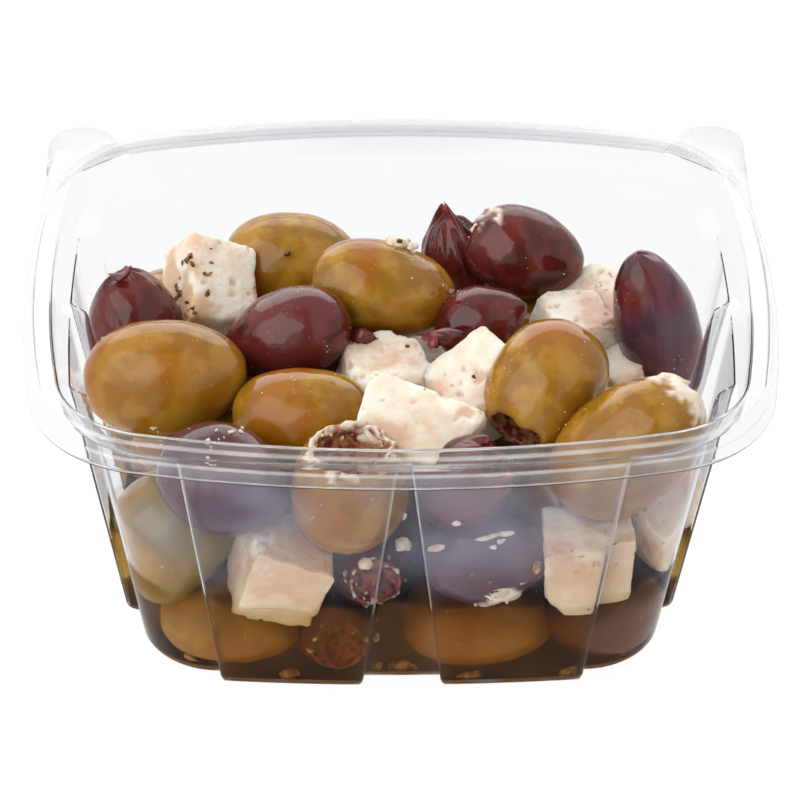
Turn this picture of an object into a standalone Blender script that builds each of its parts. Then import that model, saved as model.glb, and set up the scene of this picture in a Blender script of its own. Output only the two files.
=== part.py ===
"""Open clear tub of olives and feta cubes in brine.

Units in this file are millimetres, turned into metres when a mesh is made. +Z is up, the tub
stands on z = 0 with the middle of its base at the origin, and its front long side faces -Y.
"""

import math

import bmesh
import bpy
from mathutils import Matrix

MM = 0.001

# Overall sizes of the tub
LIP_HALF_X = 68.0
LIP_HALF_Y = 57.0
RIM_TOP = 62.0
NECK_BOTTOM = 55.3
WALL_THICKNESS = 0.6

# The wall under the neck: half sizes of its front and side faces at the table and at the neck
BASE_HALF_X, BASE_HALF_Y = 50.3, 41.2
NECK_HALF_X, NECK_HALF_Y = 60.0, 49.0
WALL_BOW_RADIUS = 365.0
BASE_CORNER_RADIUS, NECK_CORNER_RADIUS = 14.0, 18.0
BASE_FILLET = 2.2

# Two raised panels on each wall, parted by a wedge-shaped recess
RECESS_DEPTH = 2.8
RECESS_FADE = 2.2
PANEL_EDGE_RUN = 0.8
PANEL_GAP_HALF_BASE, PANEL_GAP_HALF_NECK = 7.0, 0.9
LONG_PANEL_END_BASE, LONG_PANEL_END_NECK = 32.3, 39.5
SHORT_PANEL_END_BASE, SHORT_PANEL_END_NECK = 19.5, 25.0
PANEL_STEPS = 3

# Underside of the rim, from the neck's shelf out to the edge of the lip: inset from the lip's
# half sizes, and height
RIM_BOW_RADIUS = 220.0
RIM_CORNER_RADIUS = 24.0
RIM_PROFILE = (
    (5.8, NECK_BOTTOM + 0.7),
    (4.9, RIM_TOP - 1.15),
    (4.5, RIM_TOP - 0.665),
    (2.4, RIM_TOP - 1.0),
    (1.7, RIM_TOP - 4.0),
    (0.515, RIM_TOP - 6.0),
)

# Finger tabs that fill out the two rear corners of the lip: middle and radius of the round end
TAB_MIDDLE = (59.3, 53.3)
TAB_RADIUS = 6.5

# Contents
BRINE_DEPTH = 19.0
CONTENT_GAP = 0.35
HEAP_EDGE_HEIGHT = 40.0
HEAP_CROWN_HEIGHT = 42.0
CORNER_STEPS = 12
OLIVE_SEGMENTS, OLIVE_RINGS = 14, 8

# What stands out of the top of the heap: middle (x, y, z), turn about z and tilt of the long
# axis in degrees
GREEN_OLIVE_SIZE = (27.0, 20.0, 19.0)
GREEN_OLIVES = (
    ((-20.0, 30.0, 46.5), 0, 0),
    ((-3.0, 15.0, 48.5), -10, 10),
    ((-43.0, -8.0, 45.0), 5, 0),
    ((-18.0, -15.0, 43.5), 0, 0),
    ((26.0, -14.0, 47.5), 30, 20),
    ((41.0, -24.0, 42.0), 35, 40),
    ((-9.0, -34.0, 41.0), 80, 65),
)
DARK_OLIVE_SIZE = (24.0, 16.0, 15.5)
DARK_OLIVES = (
    ((-48.0, 12.0, 46.0), 40, 20),
    ((-20.0, 3.0, 47.5), 10, 10),
    ((15.0, 10.0, 46.5), 20, 10),
    ((9.5, 31.0, 48.0), 80, 40),
    ((23.0, 29.0, 48.5), -20, 0),
    ((46.5, 4.0, 49.0), 80, 75),
    ((-31.0, -33.0, 41.0), -30, -10),
    ((11.0, -33.0, 42.0), 0, 10),
)
FETA_SIZE = (15.5, 15.0, 13.5)
FETA_CUBES = (
    ((-35.0, 22.0, 46.0), 20, 20),
    ((-3.5, -4.0, 45.5), 10, 5),
    ((3.0, -23.0, 48.5), 45, 10),
    ((11.0, -8.0, 46.0), 30, 15),
    ((32.0, 17.0, 42.5), 0, 20),
)

COLOURS = {
    "tub": (0.86, 0.88, 0.88, 0.22),
    "brine": (0.20, 0.11, 0.03, 1.0),
    "olive_heap": (0.23, 0.19, 0.05, 1.0),
}
ROUGHNESS = {"tub": 0.08, "brine": 0.05, "olive_heap": 0.35}
FINISHES = {}


def mix(low, high, share):
    """Value at a share of the way from low to high."""
    return low + (high - low) * share


def corner_centre(half_x, half_y, bow, radius):
    """Centre of a corner circle that touches the bowed side and the bowed end from within."""
    rear_y = half_y - bow
    side_x = half_x - bow
    apart = math.hypot(rear_y, side_x)
    reach = math.sqrt((bow - radius) ** 2 - (apart / 2) ** 2)
    return side_x / 2 - rear_y / apart * reach, rear_y / 2 - side_x / apart * reach


def bowed(half, bow, along):
    """How far out a bowed wall stands at a place along it."""
    return half - bow + math.sqrt(bow ** 2 - along ** 2)


def quarter_stations(gap, end):
    """Places along one half of a wall from its middle, with True where a panel stands out."""
    stations = [(0.0, False), (gap, False)]
    inner = gap + PANEL_EDGE_RUN
    for step in range(PANEL_STEPS + 1):
        stations.append((mix(inner, end, step / PANEL_STEPS), True))
    stations.append((end + PANEL_EDGE_RUN, False))
    return stations


def quarter(half_x, half_y, bow, radius, depth, gap, long_end, short_end):
    """Points of the rear right quarter of a section, from the rear middle round to the side."""
    points = []
    for along, raised in quarter_stations(gap, long_end):
        out = bowed(half_y, bow, along) - (0.0 if raised else depth)
        points.append((along, out))
    centre_x, centre_y = corner_centre(half_x - depth, half_y - depth, bow, radius)
    start = math.atan2(centre_y - (half_y - depth - bow), centre_x)
    finish = math.atan2(centre_y, centre_x - (half_x - depth - bow))
    for step in range(CORNER_STEPS + 1):
        angle = mix(start, finish, step / CORNER_STEPS)
        points.append((centre_x + radius * math.cos(angle), centre_y + radius * math.sin(angle)))
    for along, raised in reversed(quarter_stations(gap, short_end)):
        out = bowed(half_x, bow, along) - (0.0 if raised else depth)
        points.append((out, along))
    return points


def full_loop(points):
    """Mirror a rear right quarter into a closed loop that runs clockwise from the rear middle."""
    front_right = [(x, -y) for x, y in reversed(points)][1:]
    right = points + front_right
    left = [(-x, y) for x, y in reversed(right)][1:-1]
    return right + left


def wall_share(height):
    """Share of the way up the wall, from 0 at the table to 1 at the neck."""
    return height / NECK_BOTTOM


def wall_section(height, inset=0.0, depth=RECESS_DEPTH):
    """Outline of the tub's wall at a height, drawn in by an inset."""
    share = wall_share(height)
    return full_loop(quarter(
        mix(BASE_HALF_X, NECK_HALF_X, share) - inset,
        mix(BASE_HALF_Y, NECK_HALF_Y, share) - inset,
        WALL_BOW_RADIUS,
        mix(BASE_CORNER_RADIUS, NECK_CORNER_RADIUS, share) - inset,
        depth,
        mix(PANEL_GAP_HALF_BASE, PANEL_GAP_HALF_NECK, share) + inset,
        mix(LONG_PANEL_END_BASE, LONG_PANEL_END_NECK, share) - inset,
        mix(SHORT_PANEL_END_BASE, SHORT_PANEL_END_NECK, share) - inset,
    ))


def rim_section(inset):
    """Outline of the rim, drawn in from the edge of the lip."""
    return full_loop(quarter(
        LIP_HALF_X - inset,
        LIP_HALF_Y - inset,
        RIM_BOW_RADIUS,
        RIM_CORNER_RADIUS - inset,
        0.0,
        PANEL_GAP_HALF_NECK,
        LONG_PANEL_END_NECK,
        SHORT_PANEL_END_NECK,
    ))


def tab_reach(angle, centre):
    """How far the edge of a tab lies from the centre of its corner, in one direction."""
    offset_x, offset_y = TAB_MIDDLE[0] - centre[0], TAB_MIDDLE[1] - centre[1]
    along = offset_x * math.cos(angle) + offset_y * math.sin(angle)
    aside = offset_x * math.sin(angle) - offset_y * math.cos(angle)
    side_line = (offset_x + TAB_RADIUS) / math.cos(angle)
    if abs(aside) > TAB_RADIUS:
        return side_line if aside < 0.0 else 0.0
    far_edge = along + math.sqrt(TAB_RADIUS ** 2 - aside ** 2)
    level_with_middle = math.atan2(offset_y, offset_x + TAB_RADIUS)
    return side_line if angle < level_with_middle else far_edge


def with_tabs(points):
    """Push the rear corners of the lip out to the finger tabs."""
    centre = corner_centre(LIP_HALF_X, LIP_HALF_Y, RIM_BOW_RADIUS, RIM_CORNER_RADIUS)
    pushed = []
    for x, y in points:
        from_x, from_y = abs(x) - centre[0], y - centre[1]
        if from_x > 0.0 and from_y > 0.0:
            angle = math.atan2(from_y, from_x)
            reach = max(math.hypot(from_x, from_y), tab_reach(angle, centre))
            x = math.copysign(centre[0] + reach * math.cos(angle), x)
            y = centre[1] + reach * math.sin(angle)
        pushed.append((x, y))
    return pushed


def scaled(points, share):
    """Shrink a loop towards the middle."""
    return [(x * share, y * share) for x, y in points]


def add_row(mesh, points, heights):
    """Add one loop of vertices; heights is one height or one for each point."""
    if isinstance(heights, float):
        heights = [heights] * len(points)
    return [mesh.verts.new((x * MM, y * MM, z * MM)) for (x, y), z in zip(points, heights)]


def bridge(mesh, rows):
    """Join each loop to the next one above or outside it, with quads that face outwards."""
    for lower, upper in zip(rows, rows[1:]):
        for index in range(len(lower)):
            after = (index + 1) % len(lower)
            mesh.faces.new((lower[index], upper[index], upper[after], lower[after]))


def close_below(mesh, row):
    """Close a loop with one flat face that faces down."""
    mesh.faces.new(row)


def close_above(mesh, row):
    """Close a loop with one flat face that faces up."""
    mesh.faces.new(row[::-1])


def finish_node(name, mesh, collection, smooth_angle):
    """Turn a built mesh into a named, smooth-shaded object with its own material."""
    data = bpy.data.meshes.new(name)
    mesh.to_mesh(data)
    mesh.free()
    data.shade_smooth()
    data.set_sharp_from_angle(angle=math.radians(smooth_angle))
    data.materials.append(FINISHES[name])
    node = bpy.data.objects.new(name, data)
    collection.objects.link(node)
    return node


def make_finishes():
    """One plain material for each node."""
    for name, colour in COLOURS.items():
        material = bpy.data.materials.new(name)
        material.use_nodes = True
        shader = material.node_tree.nodes["Principled BSDF"]
        shader.inputs["Base Color"].default_value = colour[:3] + (1.0,)
        shader.inputs["Alpha"].default_value = colour[3]
        shader.inputs["Roughness"].default_value = ROUGHNESS[name]
        shader.inputs["Metallic"].default_value = 0.0
        FINISHES[name] = material


def make_tub(collection):
    """Thin open shell: flat base, panelled wall, neck, rim and lip."""
    mesh = bmesh.new()
    rows = [
        (wall_section(0.0, inset=BASE_FILLET), 0.0),
        (wall_section(0.3 * BASE_FILLET, inset=0.3 * BASE_FILLET), 0.3 * BASE_FILLET),
        (wall_section(BASE_FILLET), BASE_FILLET),
        (wall_section(NECK_BOTTOM - RECESS_FADE), NECK_BOTTOM - RECESS_FADE),
        (wall_section(NECK_BOTTOM, depth=0.0), NECK_BOTTOM),
    ]
    rows += [(rim_section(inset), height) for inset, height in RIM_PROFILE]
    rows[-1] = (with_tabs(rows[-1][0]), rows[-1][1])
    loops = [add_row(mesh, points, height) for points, height in rows]
    bridge(mesh, loops)
    close_below(mesh, loops[0])
    tub = finish_node("tub", mesh, collection, 35)
    wall = tub.modifiers.new("wall", "SOLIDIFY")
    wall.thickness = WALL_THICKNESS * MM
    wall.offset = -1.0
    wall.use_even_offset = True
    return tub


def content_section(height):
    """Outline of the contents at a height, just clear of the wall's inner face."""
    return wall_section(height, inset=WALL_THICKNESS + CONTENT_GAP)


def make_brine(collection):
    """Solid of the liquid, from the base up to its level."""
    mesh = bmesh.new()
    floor = WALL_THICKNESS + CONTENT_GAP
    heights = [floor + 0.01, floor + BASE_FILLET, BRINE_DEPTH]
    loops = [add_row(mesh, wall_section(floor, inset=floor + BASE_FILLET), floor)]
    loops += [add_row(mesh, content_section(height), height) for height in heights[1:]]
    bridge(mesh, loops)
    close_below(mesh, loops[0])
    close_above(mesh, loops[-1])
    return finish_node("brine", mesh, collection, 35)


def add_cutter(name, mesh, cutters):
    """Turn a built mesh into a hidden wire object that a Boolean reads."""
    data = bpy.data.meshes.new(name)
    mesh.to_mesh(data)
    mesh.free()
    cutter = bpy.data.objects.new(name, data)
    cutter.hide_render = True
    cutter.display_type = "WIRE"
    cutters.objects.link(cutter)
    return cutter


def placed(middle, turn, tilt, size):
    """Matrix that takes a shape of unit width to its size, tilt, turn and place."""
    scale = Matrix.Diagonal((size[0] * MM, size[1] * MM, size[2] * MM, 1.0))
    turned = Matrix.Rotation(math.radians(turn), 4, "Z")
    tilted = Matrix.Rotation(-math.radians(tilt), 4, "Y")
    return Matrix.Translation([value * MM for value in middle]) @ turned @ tilted @ scale


def add_pieces(pieces):
    """One hidden solid for each olive and feta cube on top of the heap."""
    for size, places in ((GREEN_OLIVE_SIZE, GREEN_OLIVES), (DARK_OLIVE_SIZE, DARK_OLIVES)):
        for index, (middle, turn, tilt) in enumerate(places):
            mesh = bmesh.new()
            bmesh.ops.create_uvsphere(mesh, u_segments=OLIVE_SEGMENTS, v_segments=OLIVE_RINGS,
                                      radius=0.5, matrix=placed(middle, turn, tilt, size))
            add_cutter(f"olive_{size[0]:.0f}_{index}", mesh, pieces)
    for index, (middle, turn, tilt) in enumerate(FETA_CUBES):
        mesh = bmesh.new()
        bmesh.ops.create_cube(mesh, size=1.0, matrix=placed(middle, turn, tilt, FETA_SIZE))
        add_cutter(f"feta_{index}", mesh, pieces)


def inner_solid(sections):
    """Closed solid through sections of the tub's inside."""
    mesh = bmesh.new()
    loops = [add_row(mesh, points, height) for points, height in sections]
    bridge(mesh, loops)
    close_below(mesh, loops[0])
    close_above(mesh, loops[-1])
    return mesh


def make_heap(collection, pieces, cutters):
    """Olives and feta above the brine, as one solid out to their uneven outline."""
    bottom = BRINE_DEPTH + CONTENT_GAP
    shell = [(content_section(height), height)
             for height in (bottom, mix(bottom, HEAP_EDGE_HEIGHT, 0.5), HEAP_EDGE_HEIGHT)]
    crown = (scaled(shell[-1][0], 0.8), HEAP_CROWN_HEIGHT)
    heap = finish_node("olive_heap", inner_solid(shell + [crown]), collection, 40)
    neck = wall_section(NECK_BOTTOM, inset=WALL_THICKNESS + CONTENT_GAP)
    mould = add_cutter("heap_mould", inner_solid(
        [(content_section(bottom - 1.0), bottom - 1.0), (neck, NECK_BOTTOM), (neck, RIM_TOP)]),
        cutters)
    add_pieces(pieces)
    join = heap.modifiers.new("pieces", "BOOLEAN")
    join.operation = "UNION"
    join.operand_type = "COLLECTION"
    join.collection = pieces
    trim = heap.modifiers.new("trim", "BOOLEAN")
    trim.operation = "INTERSECT"
    trim.object = mould


def new_collection(name):
    """Collection linked under the scene's own."""
    collection = bpy.data.collections.new(name)
    bpy.context.scene.collection.children.link(collection)
    return collection


def main():
    """Clear the scene and build every node into one collection."""
    for old in list(bpy.data.objects):
        bpy.data.objects.remove(old, do_unlink=True)
    collection = new_collection("olive_and_feta_tub")
    make_finishes()
    make_tub(collection)
    make_brine(collection)
    make_heap(collection, new_collection("heap_pieces"), new_collection("cutters"))


main()
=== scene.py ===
"""Looks of an open clear tub of olives and feta cubes in brine.

Lengths are in millimetres until a mesh is made, which is in metres, as are the places that a
finish reads. +Z is up, the tub stands on z = 0 with the middle of its base at the origin, and its
front long side faces -Y.
"""

import logging
import math
from dataclasses import dataclass, field, replace
from enum import Enum, IntEnum

import bpy
import numpy as np
from mathutils import Matrix, Vector


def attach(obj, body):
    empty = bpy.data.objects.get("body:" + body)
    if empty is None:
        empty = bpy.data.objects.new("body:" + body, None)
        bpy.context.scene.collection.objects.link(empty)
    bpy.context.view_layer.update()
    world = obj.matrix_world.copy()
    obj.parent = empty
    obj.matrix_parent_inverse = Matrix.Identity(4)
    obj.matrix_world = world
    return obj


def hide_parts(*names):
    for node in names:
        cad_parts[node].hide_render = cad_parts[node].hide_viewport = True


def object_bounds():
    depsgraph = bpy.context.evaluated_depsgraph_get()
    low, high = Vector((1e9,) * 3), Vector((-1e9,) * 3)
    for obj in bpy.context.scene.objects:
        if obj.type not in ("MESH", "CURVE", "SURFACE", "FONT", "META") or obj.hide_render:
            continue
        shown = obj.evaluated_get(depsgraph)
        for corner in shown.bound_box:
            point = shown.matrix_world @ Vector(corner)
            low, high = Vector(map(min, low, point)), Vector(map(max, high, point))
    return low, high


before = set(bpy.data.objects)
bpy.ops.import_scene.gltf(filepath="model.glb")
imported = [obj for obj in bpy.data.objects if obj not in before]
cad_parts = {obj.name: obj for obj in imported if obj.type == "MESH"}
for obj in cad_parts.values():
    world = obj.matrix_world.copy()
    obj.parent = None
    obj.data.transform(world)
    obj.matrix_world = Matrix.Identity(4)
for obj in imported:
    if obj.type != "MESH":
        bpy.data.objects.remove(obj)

MM = 0.001
BODY = "root"
CAD_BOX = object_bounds()
LOG = logging.getLogger("olive_tub")

Pair = tuple[float, float]
Triple = tuple[float, float, float]
Colour = tuple[float, float, float]
Face = tuple[int, ...]
Array = np.ndarray
Row = tuple[Array, float]
Surface = tuple[Array, list[Face]]
Traits = dict[str, Array]
Piece = bpy.types.Object
Material = bpy.types.Material
Tree = bpy.types.NodeTree
Socket = bpy.types.NodeSocket


# ---------------------------------------------------------------- small maths

CURVE_START = 10.3
CELL_PRIMES = np.array([73856093, 19349663, 83492791])
SEED_PRIME = 40503
SCRAMBLERS = ((13, 1274126177), (16, 668265263))
LOW_BITS = 0xFFFFFFFF
HALF_RANGE = 2.0**31
OCTAVE_SHIFT = 17.3
NOISE_SPAN = 1.6


class Axis(IntEnum):
    """Axes of the tub: across, from front to rear, and up."""

    X = 0
    Y = 1
    Z = 2


def mix(low: float, high: float, share: float) -> float:
    """Value at a share of the way from low to high."""
    return low + (high - low) * share


def smooth(share: Array | float) -> Array | float:
    """Share from 0 to 1 with soft ends."""
    share = np.clip(share, 0.0, 1.0)
    return share * share * (3.0 - 2.0 * share)


def srgb(red: int, green: int, blue: int) -> Colour:
    """Linear colour from the usual values."""
    return tuple(
        value / 255 / 12.92 if value < CURVE_START else ((value / 255 + 0.055) / 1.055) ** 2.4
        for value in (red, green, blue)
    )


def lattice_noise(points: Array, seed: int) -> Array:
    """Smooth noise on a unit lattice.

    Args:
        points: Places, one row each.
        seed: Picks the pattern.

    Returns:
        One value from -1 to 1 for each place.
    """
    cell = np.floor(points).astype(np.int64)
    part = points - cell
    part = part * part * (3.0 - 2.0 * part)
    total = np.zeros(len(points))
    for corner in range(8):
        step = np.array([(corner >> axis) & 1 for axis in Axis])
        mixed = (cell + step) @ CELL_PRIMES + seed * SEED_PRIME
        for shift, prime in SCRAMBLERS:
            mixed = (mixed ^ (mixed >> shift)) * prime & LOW_BITS
        weight = np.prod(np.where(step == 1, part, 1.0 - part), axis=1)
        total += weight * (mixed / HALF_RANGE - 1.0)
    return total


@dataclass(frozen=True)
class Bumps:
    """Uneven pattern of noise with finer and weaker layers.

    Attributes:
        grain: Width of the coarsest bumps.
        octaves: Number of layers.
        offset: Sets the pattern apart from others with the same seed.
        height: Height of the bumps.
    """

    grain: float
    octaves: int
    offset: int = 0
    height: float = 1.0

    def at(self, points: Array, seed: int = 0) -> Array:
        """Height of the bumps at some places.

        Args:
            points: Places, one row each.
            seed: Picks the pattern.

        Returns:
            One height for each place.
        """
        total = np.zeros(len(points))
        for octave in range(self.octaves):
            finer = points * 2.0**octave / self.grain + OCTAVE_SHIFT * octave
            total += lattice_noise(finer, seed + self.offset + octave) / 2**octave
        return total / NOISE_SPAN * self.height


def aim(along: Triple, roll: float) -> Array:
    """Rotation that points a shape's own X axis along a direction, rolled about it in degrees."""
    turned = Vector(along).normalized().to_track_quat("X", "Z").to_matrix()
    return np.array(turned @ Matrix.Rotation(math.radians(roll), 3, "X"))


# ---------------------------------------------------------------- meshes from arrays


@dataclass
class MeshPile:
    """Gathers many small shapes of one kind into a single mesh.

    Attributes:
        name: Name of the finished piece.
        traits: Names of the numbers stored on every vertex for the finish to read.
    """

    name: str
    traits: tuple[str, ...] = ()
    vertices: list[Array] = field(default_factory=list)
    faces: list[Face] = field(default_factory=list)
    values: dict[str, list[Array]] = field(default_factory=dict)
    count: int = 0

    def add(self, vertices: Array, faces: list[Face], **values: Array) -> None:
        """Add one closed shape.

        Args:
            vertices: Places in millimetres, one row each.
            faces: Corner indices into this shape's own vertices.
            values: One number, or one for each vertex, for every trait of the pile.
        """
        self.vertices.append(vertices)
        self.faces += [tuple(corner + self.count for corner in face) for face in faces]
        for trait in self.traits:
            value = np.broadcast_to(np.asarray(values[trait], float), len(vertices))
            self.values.setdefault(trait, []).append(value)
        self.count += len(vertices)

    def build(self, material: Material) -> Piece:
        """Make the piece, smooth-shaded but for the wide flat faces that close a loft.

        Args:
            material: Finish of the piece.

        Returns:
            The new object.
        """
        mesh = bpy.data.meshes.new(self.name)
        mesh.from_pydata(np.concatenate(self.vertices) * MM, [], self.faces)
        for trait in self.traits:
            layer = mesh.attributes.new(trait, "FLOAT", "POINT")
            layer.data.foreach_set("value", np.concatenate(self.values[trait]).astype(np.float32))
        mesh.shade_smooth()
        for polygon in mesh.polygons:
            polygon.use_smooth = polygon.loop_total <= 4
        mesh.materials.append(material)
        return placed_object(self.name, mesh)


def placed_object(name: str, data: bpy.types.ID) -> Piece:
    """New object of the scene.

    Args:
        name: Name of the object.
        data: Its mesh, lamp or camera.

    Returns:
        The object.
    """
    thing = bpy.data.objects.new(name, data)
    bpy.context.scene.collection.objects.link(thing)
    return thing


def baked(piece: Piece) -> Piece:
    """Turn a piece's modifiers into its plain mesh.

    Args:
        piece: The piece, which keeps its name.

    Returns:
        The same piece.
    """
    graph = bpy.context.evaluated_depsgraph_get()
    mesh = bpy.data.meshes.new_from_object(piece.evaluated_get(graph))
    mesh.name = piece.name
    piece.modifiers.clear()
    piece.data = mesh
    return piece


def thickened(piece: Piece, thickness: float, depth: float = 0.0) -> Piece:
    """Give a sheet its thickness, inwards from its outer face.

    Args:
        piece: The sheet.
        thickness: Thickness of the result.
        depth: How far it lies under the sheet's own face.

    Returns:
        The same piece.
    """
    layer = piece.modifiers.new("sheet", "SOLIDIFY")
    layer.thickness = thickness * MM
    layer.offset = -1.0 - 2.0 * depth / thickness
    layer.use_even_offset = True
    return baked(piece)


def dress(piece: Piece, node: str | None = None) -> None:
    """Put a finished piece on the tub's body.

    Args:
        piece: The finished piece.
        node: The part's node that the piece replaces.
    """
    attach(piece, BODY)
    if node:
        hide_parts(node)
    LOG.info("%s: %d faces", piece.name, len(piece.data.polygons))


def ring_faces(rings: int, steps: int) -> list[Face]:
    """Quads between rings of points, seen from outside when the rings run anticlockwise upwards.

    Args:
        rings: Number of rings.
        steps: Points in each ring.

    Returns:
        Corner indices, ring by ring.
    """
    faces = []
    for ring in range(rings - 1):
        for step in range(steps):
            after = (step + 1) % steps
            low, high = ring * steps, (ring + 1) * steps
            faces.append((low + step, low + after, high + after, high + step))
    return faces


def lathed(axial: Array, radial: Array, steps: int, flatness: float = 1.0) -> Surface:
    """Closed surface that a profile makes about the X axis.

    Args:
        axial: Places of the profile along the axis; its first and last points close the surface.
        radial: Their distances from the axis.
        steps: Points in each ring.
        flatness: Thickness as a share of the width.

    Returns:
        Vertices, the rings first and then the two end points, and faces that point outwards.
    """
    angles = np.arange(steps) * math.tau / steps
    rings = np.stack([
        np.repeat(axial[1:-1], steps),
        np.outer(radial[1:-1], np.cos(angles)).ravel(),
        np.outer(radial[1:-1], np.sin(angles)).ravel() * flatness,
    ], axis=1)
    faces = ring_faces(len(axial) - 2, steps)
    first = len(rings)
    last, end = first + 1, first - steps
    for step in range(steps):
        after = (step + 1) % steps
        faces += [(first, after, step), (last, end + step, end + after)]
    return np.concatenate([rings, [[axial[0], 0.0, 0.0], [axial[-1], 0.0, 0.0]]]), faces


def lofted(rows: list[Row], close_top: bool) -> Surface:
    """Surface through outlines at their heights, closed underneath by one flat face.

    Args:
        rows: Outline and height of each row, from the base up.
        close_top: Whether the last row is closed too.

    Returns:
        Vertices in millimetres and faces that point outwards.
    """
    steps = len(rows[0][0])
    vertices = [np.column_stack([points, np.full(steps, height)]) for points, height in rows]
    faces = [face[::-1] for face in ring_faces(len(rows), steps)]
    faces.append(tuple(range(steps)))
    if close_top:
        faces.append(tuple(range(steps * len(rows) - 1, steps * (len(rows) - 1) - 1, -1)))
    return np.concatenate(vertices), faces


def rounded(corners: list[Pair], radius: float, steps: int) -> list[Pair]:
    """Polyline with every inner corner turned into a short curve.

    Args:
        corners: Points of the polyline.
        radius: How far from its corner a curve starts, at most.
        steps: Pieces that each curve is drawn in.

    Returns:
        Points of the rounded line.
    """
    path = [corners[0]]
    for before, corner, after in zip(corners, corners[1:], corners[2:]):
        ends = []
        for other in (before, after):
            length = math.dist(corner, other)
            share = min(radius, length * 0.45) / length
            ends.append((mix(corner[0], other[0], share), mix(corner[1], other[1], share)))
        for step in range(steps + 1):
            t = step / steps
            path.append(tuple(
                (1 - t) ** 2 * ends[0][axis] + 2 * t * (1 - t) * corner[axis] + t**2 * ends[1][axis]
                for axis in (0, 1)
            ))
    return path + [corners[-1]]


# ---------------------------------------------------------------- the tub and its liquid


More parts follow.
